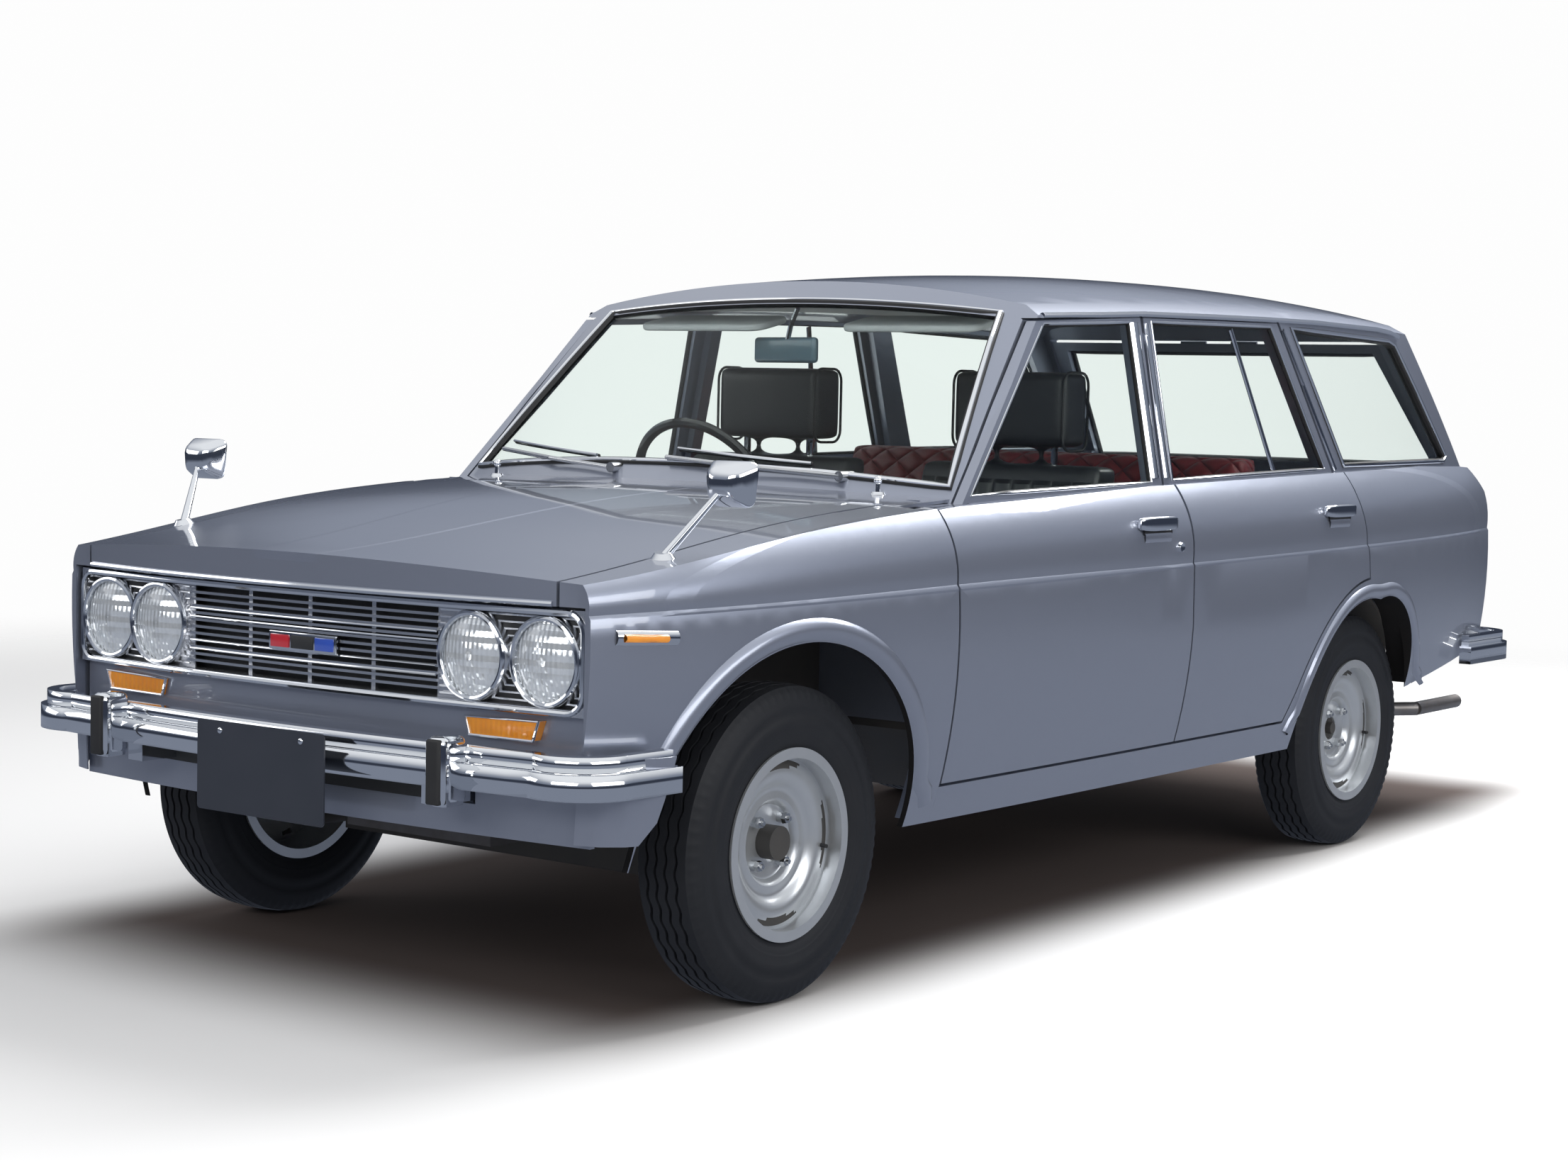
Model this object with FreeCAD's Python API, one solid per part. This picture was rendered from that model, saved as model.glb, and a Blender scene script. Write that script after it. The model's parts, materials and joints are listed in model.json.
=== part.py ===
import FreeCAD, Part
import math
import os

# A compact four-door station wagon of the late 1960s.
# Frame: X to the car's left, Y to the rear, Z up, origin on the ground below the middle of its box.
# The body is a smooth lofted envelope, cut into the panels that the real body is welded and hung from.

os.makedirs("parts", exist_ok=True)

# Driving sizes, in millimetres
overall_length = 4120
overall_width = 1560
overall_height = 1435
wheelbase = 2420
front_overhang = 655
track_front = 1280
track_rear = 1270
tyre_radius = 297
tyre_width = 148
rim_radius = 180
rim_seat_radius = 165
rim_width = 128

# Walls and clearances
door_thickness = 80
door_skin_depth = 24
frame_depth = 22
cabin_wall = 46
panel_wall = 12
hood_wall = 18
glass_thickness = 5
glass_inset = 8
shut_gap = 6
frame_gap = 12
layer_gap = 6
seat_gap = 0.3
door_step = 20
overrun = 400

# Counts and turns
full_turn = 360
ring_sides = 8
oval_sides = 12

# Where the axles stand
front_axle_y = front_overhang - overall_length / 2
rear_axle_y = front_axle_y + wheelbase
rear_overhang = overall_length - front_overhang - wheelbase
half_width = overall_width / 2
axle_z = tyre_radius

# Body section stations: place along the car, half width, crease height, shoulder height
station_shares = [
    (-0.960, 0.832, 0.512, 0.549),
    (-0.809, 0.864, 0.514, 0.555),
    (-0.458, 0.914, 0.516, 0.575),
    (0.000, 0.957, 0.519, 0.605),
    (0.186, 0.986, 0.525, 0.632),
    (0.537, 1.000, 0.530, 0.654),
    (0.909, 0.996, 0.537, 0.667),
    (1.364, 0.964, 0.542, 0.675),
    (1.699, 0.917, 0.545, 0.672),
    (1.966, 0.850, 0.546, 0.664),
]

# Roof stations: place along the car, half width at the belt, rail height, crown height
roof_shares = [
    (0.120, 0.880, 0.880, 0.905),
    (0.340, 0.894, 0.902, 0.950),
    (0.600, 0.902, 0.921, 0.985),
    (0.900, 0.898, 0.928, 0.999),
    (1.300, 0.870, 0.925, 0.993),
    (1.700, 0.826, 0.914, 0.972),
    (1.960, 0.765, 0.905, 0.950),
]

# Section shape of the body side
sill_height = 285
sill_tuck = 67
side_tuck = 7
side_tuck_height = 550
crease_step = 4
crease_rise = 7
shoulder_inset_share = 0.31
shoulder_round_share = 0.35
shoulder_mid_share = 0.66
deck_crown = 30
belt_clear = 150

# Section shape of the cabin
roof_base_share = 0.625
tumblehome = 0.186
edge_round = 40
edge_rise = 22

# The windscreen's outer face leans back and bows forward in plan
screen_base_share = 0.648
screen_top_share = 0.909
screen_edge = 650
screen_base_y_share = 0.2455
screen_top_y_share = 0.3990
screen_base_bow = 150
screen_top_bow = 82
screen_wall = 34
screen_span_shares = (-0.5, 1.5)

# The tail's face leans forward from the belt to the roof and bows rearward in plan
tail_top_share = 0.930
tail_top_y_share = 1.452
tail_base_share = 0.640
tail_base_y_share = 1.840
tail_bow = 45
tail_wall = 40
tail_span_shares = (-0.6, 1.3)
rear_face_share = 1.930
rear_corner_share = 1.845
nose_share = -0.915
nose_corner_share = -0.815
tail_profile_shares = [
    (-1.600, 0.000),
    (1.890, 0.000),
    (1.890, 0.300),
    (1.935, 0.400),
    (1.960, 0.540),
    (1.914, 0.590),
    (1.797, 0.672),
    (1.780, 0.800),
    (-1.600, 0.800),
]
underside_shares = [
    (-1.600, 0.240),
    (-0.580, 0.252),
    (-0.580, 0.000),
    (1.170, 0.000),
    (1.170, 0.262),
    (1.690, 0.308),
    (2.200, 0.330),
    (2.200, 1.200),
    (-1.600, 1.200),
]

# Outlines in the side view: a pair of shares is a straight run's end, and four are an arc's middle and end
door_front_shares = [
    (0.1946, 0.253),
    (0.1884, 0.525),
    (0.1830, 0.630),
    (0.2370, 0.637),
    (0.3900, 0.898),
    (0.5745, 0.914),
    (0.5745, 0.648),
    (0.5765, 0.525),
    (0.5805, 0.253),
]
door_rear_shares = [
    (0.5830, 0.253),
    (0.5790, 0.525),
    (0.5785, 0.648),
    (0.5800, 0.914),
    (0.8590, 0.921),
    (0.9450, 0.668),
    (0.9480, 0.627),
    (0.9640, 0.525),
    (0.9670, 0.485),
    (0.8640, 0.408, 0.8210, 0.303),
    (0.8060, 0.253),
]
window_front_shares = [
    (0.2520, 0.645),
    (0.4020, 0.894),
    (0.5550, 0.905),
    (0.5560, 0.657),
]
window_rear_shares = [
    (0.5960, 0.660),
    (0.5950, 0.908),
    (0.8440, 0.914),
    (0.9280, 0.672),
]
window_quarter_shares = [
    (0.9760, 0.677),
    (0.8900, 0.914),
    (1.3500, 0.905),
    (1.3900, 0.898),
    (1.6750, 0.690),
    (1.6500, 0.680),
]
rear_arch_shares = [
    (0.8410, 0.100),
    (0.8410, 0.209),
    (0.8690, 0.359, 1.0000, 0.444),
    (1.2100, 0.397, 1.2680, 0.293),
    (1.2680, 0.100),
]
front_arch_radius = 377
rail_shares = [
    (-0.500, 0.893),
    (0.340, 0.9025),
    (0.600, 0.921),
    (0.900, 0.928),
    (1.300, 0.925),
    (1.400, 0.920),
    (1.440, 0.906),
    (1.900, 0.906),
]

# Outlines in the front view: shares across the half width and up
screen_opening_shares = [
    (-0.820, 0.654),
    (0.000, 0.675, 0.820, 0.654),
    (0.692, 0.904),
    (0.000, 0.923, -0.692, 0.904),
]
tailgate_shares = [
    (-0.750, 0.352),
    (0.750, 0.352),
    (0.762, 0.520),
    (0.745, 0.655),
    (0.667, 0.9005),
    (-0.667, 0.9005),
    (-0.745, 0.655),
    (-0.762, 0.520),
]
tail_window_shares = [
    (-0.700, 0.668),
    (0.700, 0.668),
    (0.620, 0.884),
    (-0.620, 0.884),
]
signal_shares = [
    (0.515, 0.363),
    (0.705, 0.364),
    (0.720, 0.388),
    (0.503, 0.385),
]
hood_shares = [
    (-0.769, -1.200),
    (0.769, -1.200),
    (0.795, 0.165),
    (0.000, 0.136, -0.795, 0.165),
]
bumper_front_shares = [
    (-0.959, -0.568),
    (-0.951, -0.760),
    (-0.905, -0.890, -0.769, -0.924),
    (0.000, -0.977, 0.769, -0.924),
    (0.905, -0.890, 0.951, -0.760),
    (0.959, -0.568),
]
bumper_rear_shares = [
    (0.959, 1.632),
    (0.962, 1.850),
    (0.920, 1.930, 0.795, 1.966),
    (0.000, 2.000, -0.795, 1.966),
    (-0.920, 1.930, -0.962, 1.850),
    (-0.959, 1.632),
]


def station(share):
    """A place along the car: below 0 on the front overhang, 0 to 1 between the axles, above 1 behind."""
    if share < 0:
        return front_axle_y + share * front_overhang
    if share <= 1:
        return front_axle_y + share * wheelbase
    return rear_axle_y + (share - 1) * rear_overhang


def across(share):
    return share * half_width


def up(share):
    return share * overall_height


def vec(x, y, z):
    return FreeCAD.Vector(x, y, z)


def arc(start, middle, end):
    return Part.Arc(start, middle, end).toShape()


def line(start, end):
    return Part.LineSegment(start, end).toShape()


def block(x0, x1, y0, y1, z0, z1):
    return Part.makeBox(x1 - x0, y1 - y0, z1 - z0, vec(x0, y0, z0))


def closed_wire(corners):
    """A closed wire from points; a pair of points stands for an arc's middle and end."""
    edges = []
    start = corners[0]
    for corner in corners[1:] + [corners[0]]:
        if isinstance(corner, tuple):
            edges.append(arc(start, corner[0], corner[1]))
            start = corner[1]
        else:
            edges.append(line(start, corner))
            start = corner
    return Part.Wire(edges)


def side_wire(shares):
    """A closed outline in the side view from rows of shares along and up."""
    corners = []
    for row in shares:
        points = [vec(0, station(a), up(h)) for a, h in zip(row[0::2], row[1::2])]
        corners.append(points[0] if len(points) == 1 else tuple(points))
    return closed_wire(corners)


def front_wire(shares):
    """A closed outline in the front view from rows of shares across and up."""
    corners = []
    for row in shares:
        points = [vec(across(a), 0, up(h)) for a, h in zip(row[0::2], row[1::2])]
        corners.append(points[0] if len(points) == 1 else tuple(points))
    return closed_wire(corners)


def plan_wire(shares):
    """A closed outline seen from above from rows of shares across and along."""
    corners = []
    for row in shares:
        points = [vec(across(a), station(s), 0) for a, s in zip(row[0::2], row[1::2])]
        corners.append(points[0] if len(points) == 1 else tuple(points))
    return closed_wire(corners)


def swept(wire, way, start):
    """The outline moved to its start and carried along a straight way."""
    moved = wire.copy()
    moved.translate(start)
    return Part.Face(moved).extrude(way)


def through(wire, y0, y1):
    """A front outline carried along the car from y0 to y1."""
    return swept(wire, vec(0, y1 - y0, 0), vec(0, y0, 0))


def raised(wire, z0, z1):
    """A plan outline carried up from z0 to z1."""
    return swept(wire, vec(0, 0, z1 - z0), vec(0, 0, z0))


def grown(wire, amount):
    """The outline moved outwards by amount with sharp corners, or inwards where it is negative."""
    join = 2 if amount > 0 else 0
    return wire.makeOffset2D(amount, join, False, False)


def carried(wire, x0, x1):
    """A side outline carried across the car from x0 to x1."""
    moved = wire.copy()
    moved.translate(vec(x0, 0, 0))
    return Part.Face(moved).extrude(vec(x1 - x0, 0, 0))


def side_prism(points, x0, x1):
    """An outline of (Y, Z) points carried from x0 to x1."""
    return Part.Face(closed_wire([vec(x0, y, z) for y, z in points])).extrude(vec(x1 - x0, 0, 0))


def rod(start, end, radius):
    """A round bar between two points."""
    way = end.sub(start)
    return Part.makeCylinder(radius, way.Length, start, way)


def tube_path(points, radius):
    """A bent bar: straight rods end to end."""
    solid = rod(points[0], points[1], radius)
    for start, end in zip(points[1:-1], points[2:]):
        solid = solid.fuse(rod(start, end, radius))
    return solid


def ring(centre, way, radius, tube):
    """A hoop about a line, with a many-sided section."""
    section = []
    for i in range(ring_sides):
        angle = math.tau * i / ring_sides
        section.append(vec(radius + tube * math.cos(angle), 0, tube * math.sin(angle)))
    hoop = Part.Face(closed_wire(section)).revolve(vec(0, 0, 0), vec(0, 0, 1), full_turn)
    hoop.Placement = FreeCAD.Placement(centre, FreeCAD.Rotation(vec(0, 0, 1), way))
    return hoop


def axle_disc(radius, x0, x1, y, z):
    """A cylinder about a line across the car."""
    return Part.makeCylinder(radius, x1 - x0, vec(x0, y, z), vec(1, 0, 0))


def mirrored(shape):
    return shape.mirror(vec(0, 0, 0), vec(1, 0, 0))


def export(name, shape):
    shape.exportStep("parts/" + name + ".step")


def export_pair(stem, shape):
    """The left piece as made, and its mirror image on the right."""
    export(stem + "_left", shape)
    export(stem + "_right", mirrored(shape))


def largest(shape):
    """The largest solid of a shape, without the crumbs that a cut leaves."""
    return max(shape.Solids, key=lambda solid: solid.Volume)


def flat(shapes):
    """One compound of shapes that don't touch."""
    return Part.makeCompound(shapes)


# The envelope of the body, and its copies set in by a wall's thickness
def section_side(row, inset):
    """The left side of one body section, from the sill to the shoulder."""
    along, wide, crease, shoulder = row
    y = station(along)
    w = across(wide) - inset
    z_crease = up(crease)
    z_top = up(shoulder) - inset * shoulder_round_share
    fall = shoulder_inset_share * (up(shoulder) - z_crease)
    z_mid = z_crease + shoulder_mid_share * (z_top - z_crease)
    return [
        vec(w - sill_tuck, y, sill_height),
        vec(w - side_tuck, y, side_tuck_height),
        vec(w, y, z_crease),
        vec(w - crease_step, y, z_crease + crease_rise),
        vec(w - shoulder_round_share * fall, y, z_mid),
        vec(w - fall, y, z_top),
    ]


def section_wire(row, inset, open_top):
    """A closed body section: crowned like the deck, or carried up past the belt to cut a cabin."""
    left = section_side(row, inset)
    right = [vec(-p.x, p.y, p.z) for p in left]
    if open_top:
        high_left = left[5].add(vec(0, 0, belt_clear))
        high_right = right[5].add(vec(0, 0, belt_clear))
        top = [line(left[5], high_left), line(high_left, high_right), line(high_right, right[5])]
    else:
        crown = vec(0, left[5].y, up(row[3]) + deck_crown - inset)
        top = [arc(left[5], crown, right[5])]
    return Part.Wire([
        line(right[0], left[0]),
        arc(left[0], left[1], left[2]),
        line(left[2], left[3]),
        arc(left[3], left[4], left[5]),
        *top,
        arc(right[5], right[4], right[3]),
        line(right[3], right[2]),
        arc(right[2], right[1], right[0]),
    ])


def body_loft(inset, open_top):
    return Part.makeLoft([section_wire(row, inset, open_top) for row in station_shares], True, False)


def nose_solid(back):
    """All that lies behind the nose's bowed front line, moved back by the given distance."""
    corner_y = station(nose_corner_share) + back
    corner_x = across(station_shares[0][1])
    outer = overall_width
    wire = closed_wire([
        vec(corner_x, corner_y, 0),
        (vec(0, station(nose_share) + back, 0), vec(-corner_x, corner_y, 0)),
        vec(-outer, corner_y, 0),
        vec(-outer, overall_length, 0),
        vec(outer, overall_length, 0),
        vec(outer, corner_y, 0),
    ])
    return Part.Face(wire).extrude(vec(0, 0, overall_height))


def rear_solid(forward):
    """All that lies ahead of the rear panel's bowed line, moved forward by the given distance."""
    corner_y = station(rear_corner_share) - forward
    wire = closed_wire([
        vec(half_width, corner_y, 0),
        (vec(0, station(rear_face_share) - forward, 0), vec(-half_width, corner_y, 0)),
        vec(-half_width, -overall_length, 0),
        vec(half_width, -overall_length, 0),
    ])
    return Part.Face(wire).extrude(vec(0, 0, overall_height))


def roof_section(row, inset):
    """One cross-section of the cabin above the belt."""
    along, wide, rail, crown = row
    y = station(along)
    z_low = up(roof_base_share)
    z_edge = up(rail) - inset * shoulder_round_share
    x_low = across(wide) - inset
    x_rail = x_low - tumblehome * (up(rail) - z_low)
    bend = vec(x_rail - edge_round, y, z_edge + edge_rise)
    mirror_bend = vec(-bend.x, y, bend.z)
    top = vec(0, y, up(crown) - inset)
    return Part.Wire([
        line(vec(-x_low, y, z_low), vec(x_low, y, z_low)),
        line(vec(x_low, y, z_low), vec(x_rail, y, z_edge)),
        line(vec(x_rail, y, z_edge), bend),
        arc(bend, top, mirror_bend),
        line(mirror_bend, vec(-x_rail, y, z_edge)),
        line(vec(-x_rail, y, z_edge), vec(-x_low, y, z_low)),
    ])


def roof_loft(inset):
    return Part.makeLoft([roof_section(row, inset) for row in roof_shares], True, False)


def screen_solid(back):
    """All that lies behind the windscreen's outer face, moved back by the given distance."""
    wires = []
    lean = station(screen_top_y_share) - station(screen_base_y_share)
    rise = up(screen_top_share) - up(screen_base_share)
    for part in screen_span_shares:
        z = up(screen_base_share) + part * rise
        edge_y = station(screen_base_y_share) + part * lean + back
        bow = screen_base_bow + part * (screen_top_bow - screen_base_bow)
        wires.append(closed_wire([
            vec(screen_edge, edge_y, z),
            (vec(0, edge_y - bow, z), vec(-screen_edge, edge_y, z)),
            vec(-overall_width, edge_y, z),
            vec(-overall_width, overall_length, z),
            vec(overall_width, overall_length, z),
            vec(overall_width, edge_y, z),
        ]))
    return Part.makeLoft(wires, True, True)


def tail_solid(forward):
    """All that lies ahead of the tail's outer face, moved forward by the given distance."""
    wires = []
    lean = station(tail_base_y_share) - station(tail_top_y_share)
    drop = up(tail_top_share) - up(tail_base_share)
    for part in tail_span_shares:
        z = up(tail_top_share) - part * drop
        edge_y = station(tail_top_y_share) + part * lean - forward
        wires.append(closed_wire([
            vec(half_width, edge_y, z),
            (vec(0, edge_y + tail_bow, z), vec(-half_width, edge_y, z)),
            vec(-half_width, -overall_length, z),
            vec(half_width, -overall_length, z),
        ]))
    return Part.makeLoft(wires, True, True)


def cabin_solid(inset, screen_back, tail_forward):
    return roof_loft(inset).common(screen_solid(screen_back)).common(tail_solid(tail_forward))


def lower_solid(inset, open_top, nose_back, rear_forward):
    return body_loft(inset, open_top).common(nose_solid(nose_back)).common(rear_solid(rear_forward))


def tail_profile(forward):
    """The side profile of the tail: a chamfer above the lamps and a tuck below them."""
    prism = carried(side_wire(tail_profile_shares), -overall_width, overall_width)
    prism.translate(vec(0, -forward, 0))
    return prism


def spaced(first, last, count):
    """Evenly spaced places from first to last."""
    return [first + (last - first) * i / (count - 1) for i in range(count)]


def both(shape):
    """A left piece with its mirror image, as one compound."""
    return flat([shape, mirrored(shape)])


# Solids that the panels are cut from
far = overall_width
underside = carried(side_wire(underside_shares), -far, far)
body_outer = lower_solid(0, False, 0, 0).common(tail_profile(0)).common(underside)
body_skin_core = lower_solid(door_skin_depth, True, 0, 0)
body_frame_core = lower_solid(door_skin_depth + layer_gap, True, 0, 0)
body_inner = lower_solid(door_thickness, True, 0, 0)
rear_inner = rear_solid(tail_wall).common(tail_profile(tail_wall))
cabin_outer = cabin_solid(0, 0, 0)
cabin_frame_core = cabin_solid(frame_depth, 0, 0)
cabin_pillar_face = cabin_solid(frame_depth + layer_gap, 0, 0)
cabin_inner = cabin_solid(cabin_wall, screen_wall, tail_wall)
left_half = block(0, far, -overall_length, overall_length, 0, 2 * overall_height)

door_front_wire = side_wire(door_front_shares)
door_rear_wire = side_wire(door_rear_shares)
window_front_wire = side_wire(window_front_shares)
window_rear_wire = side_wire(window_rear_shares)
window_quarter_wire = side_wire(window_quarter_shares)
screen_wire = front_wire(screen_opening_shares)
tailgate_wire = front_wire(tailgate_shares)
tail_window_wire = front_wire(tail_window_shares)
signal_wire = front_wire(signal_shares)
hood_wire = plan_wire(hood_shares)

rear_arch = carried(side_wire(rear_arch_shares), -far, far)
front_arch = axle_disc(front_arch_radius, -far, far, front_axle_y, axle_z)
ahead_share = -1.5
behind_share = 2.5
above_share = 1.2
belt_shares = [(row[0], row[3]) for row in station_shares]
belt_shares = [(ahead_share, 0), (ahead_share, belt_shares[0][1])] + belt_shares
belt_shares = belt_shares + [(behind_share, belt_shares[-1][1]), (behind_share, 0)]
roof_room_shares = rail_shares + [(rail_shares[-1][0], above_share), (rail_shares[0][0], above_share)]
below_belt = carried(side_wire(belt_shares), -far, far)
above_rail = carried(side_wire(roof_room_shares), -far, far)
mid_y = rear_axle_y - wheelbase / 2
front_end = -overall_length
rear_end = overall_length
roof_top = 2 * overall_height

# Walls of the body: the side walls, the tail, and the cabin's pillars and roof
tail_start_share = 1.700
rear_wall_start = block(-far, far, station(tail_start_share), rear_end, 0, roof_top)
rear_wall = body_outer.common(rear_wall_start).cut(rear_inner)
lower_wall = body_outer.cut(body_inner.common(rear_inner)).common(below_belt)
side_wall = lower_wall.common(left_half)
upper_wall = cabin_outer.cut(cabin_inner)
roof_panel = upper_wall.common(above_rail)
pillars = upper_wall.cut(above_rail).cut(below_belt)


def door(outline, window):
    """One left door: a skin with full edges, an inner body set in from them, and a window frame."""
    full = carried(outline, 0, far)
    inner = carried(grown(outline, -door_step), 0, far)
    wall = side_wall.common(full)
    skin = wall.cut(body_skin_core)
    core = wall.common(body_skin_core).common(inner)
    frame = cabin_outer.common(full).cut(cabin_frame_core).cut(below_belt)
    frame = frame.cut(carried(window, 0, far))
    return skin.fuse([core, frame])


def door_room(outline):
    """What is cut from the side frame so that a door closes into it."""
    mouth = carried(grown(outline, shut_gap), 0, far)
    shifted = mouth.copy()
    shifted.translate(vec(0, frame_gap - shut_gap, 0))
    throat = carried(grown(outline, layer_gap - door_step), 0, far)
    lower = mouth.cut(body_frame_core).common(below_belt)
    upper = mouth.fuse(shifted).cut(cabin_pillar_face).cut(below_belt)
    return [lower, upper, throat]


def side_glass(outline):
    """A side window's pane, between two copies of the cabin's side."""
    pane = carried(grown(outline, -seat_gap), 0, far)
    return glass_layer.common(pane)


door_front = door(door_front_wire, window_front_wire)
door_rear = door(door_rear_wire, window_rear_wire)
glass_layer = roof_loft(glass_inset).cut(roof_loft(glass_inset + glass_thickness))
export_pair("door_front", door_front)
export_pair("door_rear", door_rear)
export_pair("glass_front", side_glass(window_front_wire))
export_pair("glass_rear", side_glass(window_rear_wire))
quarter_pane = side_glass(window_quarter_wire)

# Side frames: sills, pillars and rear quarters round the doors
side_start_share = 0.1921
side_start = block(0, far, station(side_start_share), rear_end, 0, roof_top)
tail_room = through(grown(tailgate_wire, shut_gap), rear_axle_y, rear_end)
screen_room = through(screen_wire, front_axle_y, mid_y)
wheel_room_x = track_rear / 2 + tyre_width / 2 + panel_wall
wheel_room = axle_disc(tyre_radius + tyre_width / 3, 0, wheel_room_x, rear_axle_y, axle_z)
roof_panel = roof_panel.cut(screen_room)
side_frame = side_wall.common(side_start).fuse(pillars.common(left_half))
side_frame = side_frame.cut(door_room(door_front_wire) + door_room(door_rear_wire))
quarter_room = carried(window_quarter_wire, 0, far)
side_frame = side_frame.cut([quarter_room, rear_arch, tail_room, screen_room, wheel_room])

# Nose sheet metal: two fenders and the hood between them
hood_lip_share = 0.5275
grille_top_share = 0.5235
grille_bottom_share = 0.3965
grille_half_share = 0.840
nose_room_share = -0.600
fender_back_share = 0.100
fender_inner_share = 0.803
fender_fold_share = 0.560
cowl_side_share = 0.165
panel_shell = body_outer.cut(lower_solid(panel_wall, False, panel_wall, 0))
hood_shell = body_outer.cut(lower_solid(hood_wall, False, hood_wall, 0))
hood = hood_shell.common(raised(hood_wire, up(hood_lip_share), roof_top))
hood_room = raised(grown(hood_wire, shut_gap), up(hood_lip_share) - shut_gap, roof_top)
fender_region = block(0, far, front_end, station(side_start_share) - seat_gap, 0, roof_top)
nose_room = block(-far, across(grille_half_share) + shut_gap, front_end, station(nose_room_share),
                  0, up(hood_lip_share))
door_mouth = carried(grown(door_front_wire, shut_gap), 0, far)
cowl_side_x = half_width - door_thickness - shut_gap
cowl_start = block(0, cowl_side_x, station(cowl_side_share), rear_end, 0, roof_top)
hood_back = block(0, across(fender_inner_share), station(fender_back_share), rear_end,
                  up(fender_fold_share), roof_top)
fender = panel_shell.common(fender_region)
fender = fender.cut([hood_room, nose_room, door_mouth, front_arch, cowl_start, hood_back])

# Cowl: the deck ahead of the windscreen, the upstand below it, and the firewall
screen_foot_share = 0.300
firewall_share = 0.2050
firewall_foot_share = 0.330
deck_share = 0.575
cowl_front_share = 0.130
cowl_cheek_share = 0.795
upstand_half_share = 0.815
upstand_top_share = 0.690
firewall_top_share = 0.640
firewall_wall = 4
firewall_half = 640
firewall_y = station(firewall_share)
screen_foot_y = station(screen_foot_share)
cowl_half_share = 0.840
cowl_half = across(cowl_half_share)
cowl_region = block(-cowl_half, cowl_half, station(cowl_front_share), screen_foot_y, up(deck_share), roof_top)
cowl_cheek_y = station(cowl_side_share) + shut_gap
cowl_cheek = block(across(cowl_cheek_share), far, front_end, cowl_cheek_y, 0, roof_top)
cowl_deck = panel_shell.common(cowl_region).cut([hood_room, cowl_cheek, mirrored(cowl_cheek)])
upstand_half = across(upstand_half_share)
upstand_room = block(-upstand_half, upstand_half, front_end, screen_foot_y,
                     up(deck_share), up(upstand_top_share))
upstand = pillars.common(upstand_room).cut(screen_room)
firewall = block(-firewall_half, firewall_half, firewall_y, firewall_y + firewall_wall,
                 up(firewall_foot_share), up(firewall_top_share))
side_frame = side_frame.cut(upstand_room)
cowl_panel = largest(cowl_deck.cut([side_frame, mirrored(side_frame)]).fuse([upstand, firewall]))

# Tailgate: the tail's wall inside its outline, with its window cut
gate_start_share = 1.300
rear_panel_half_share = 0.775
rear_panel_start_share = 1.850
header_half_share = 0.667
header_low_share = 0.895
tailgate_block = through(tailgate_wire, rear_axle_y, rear_end)
tail_lower = rear_wall.common(tailgate_block)
gate_start = block(-far, far, station(gate_start_share), rear_end, 0, roof_top)
tail_upper = pillars.common(tailgate_block).common(gate_start)
tailgate = largest(tail_lower.fuse(tail_upper).cut(through(tail_window_wire, rear_axle_y, rear_end)))
gate_hinge_y = 1567
gate_hinge_z = 1295.5
gate_barrel_radius = 4.5
gate_barrel_x = 40
gate_barrel_long = 80
gate_leaf_half = 3
gate_leaf_low = 1287
barrel_foot = vec(gate_barrel_x, gate_hinge_y, gate_hinge_z)
gate_barrel = Part.makeCylinder(gate_barrel_radius, gate_barrel_long, barrel_foot, vec(1, 0, 0))
gate_leaf = block(gate_barrel_x, gate_barrel_x + gate_barrel_long, gate_hinge_y - gate_leaf_half,
                  gate_hinge_y + gate_leaf_half, gate_leaf_low, gate_hinge_z)
gate_hinge = gate_barrel.fuse(gate_leaf)
tailgate = tailgate.fuse([gate_hinge, mirrored(gate_hinge)])
tailgate_low = up(tailgate_shares[0][1])
rear_panel_half = across(rear_panel_half_share)
rear_panel_y = station(rear_panel_start_share)
rear_panel_room = block(-rear_panel_half, rear_panel_half, rear_panel_y, rear_end, 0, tailgate_low - shut_gap)
rear_panel = rear_wall.common(rear_panel_room)
header_half = across(header_half_share)
header_room = block(0, header_half, station(gate_start_share), rear_end, up(header_low_share), roof_top)
side_frame = side_frame.cut([rear_panel_room, header_room])
screen_pane = screen_solid(glass_inset).cut(screen_solid(glass_inset + glass_thickness))
windshield = screen_pane.common(through(grown(screen_wire, -seat_gap), front_axle_y, mid_y))
tail_pane = tail_solid(glass_inset).cut(tail_solid(glass_inset + glass_thickness))
tailgate_glass = tail_pane.common(through(grown(tail_window_wire, -seat_gap), rear_axle_y, rear_end))

# Floor: pan, tunnel, cargo deck, rails, inner fenders and wheel tubs
floor_z = 330
floor_wall = 8
cargo_z = 500
floor_half = 694
tunnel_radius = 130
rail_x = 385
rail_wide = 50
rail_low = 350
rail_high = 430
apron_wall = 4
apron_top = 790
apron_front_top = 745
tower_x = 500
tower_radius = 72
tower_z = 800
rail_front_share = -0.730
rail_back_share = 0.224
apron_front_share = -0.700
apron_bend_share = -0.300
toe_share = 0.262
kick_share = 0.835
rail_front_y = station(rail_front_share)
rail_back_y = station(rail_back_share)
toe_y = station(toe_share)
kick_y = station(kick_share)
kick_rise = 50
floor_top = [
    (firewall_y + firewall_wall, up(firewall_foot_share)),
    (toe_y, floor_z),
    (kick_y, floor_z),
    (kick_y + kick_rise, cargo_z),
    (rear_panel_y, cargo_z),
]
floor_under = [
    (rear_panel_y, cargo_z - floor_wall),
    (kick_y + kick_rise + floor_wall, cargo_z - floor_wall),
    (kick_y + floor_wall, floor_z - floor_wall),
    (toe_y - floor_wall, floor_z - floor_wall),
    (firewall_y + firewall_wall, up(firewall_foot_share) - 2 * floor_wall),
]
pan = side_prism(floor_top + floor_under, -floor_half, floor_half)
pan = pan.common(body_inner).common(rear_inner)
tunnel_y0 = firewall_y + firewall_wall
tunnel_foot = vec(0, tunnel_y0, floor_z)
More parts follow.
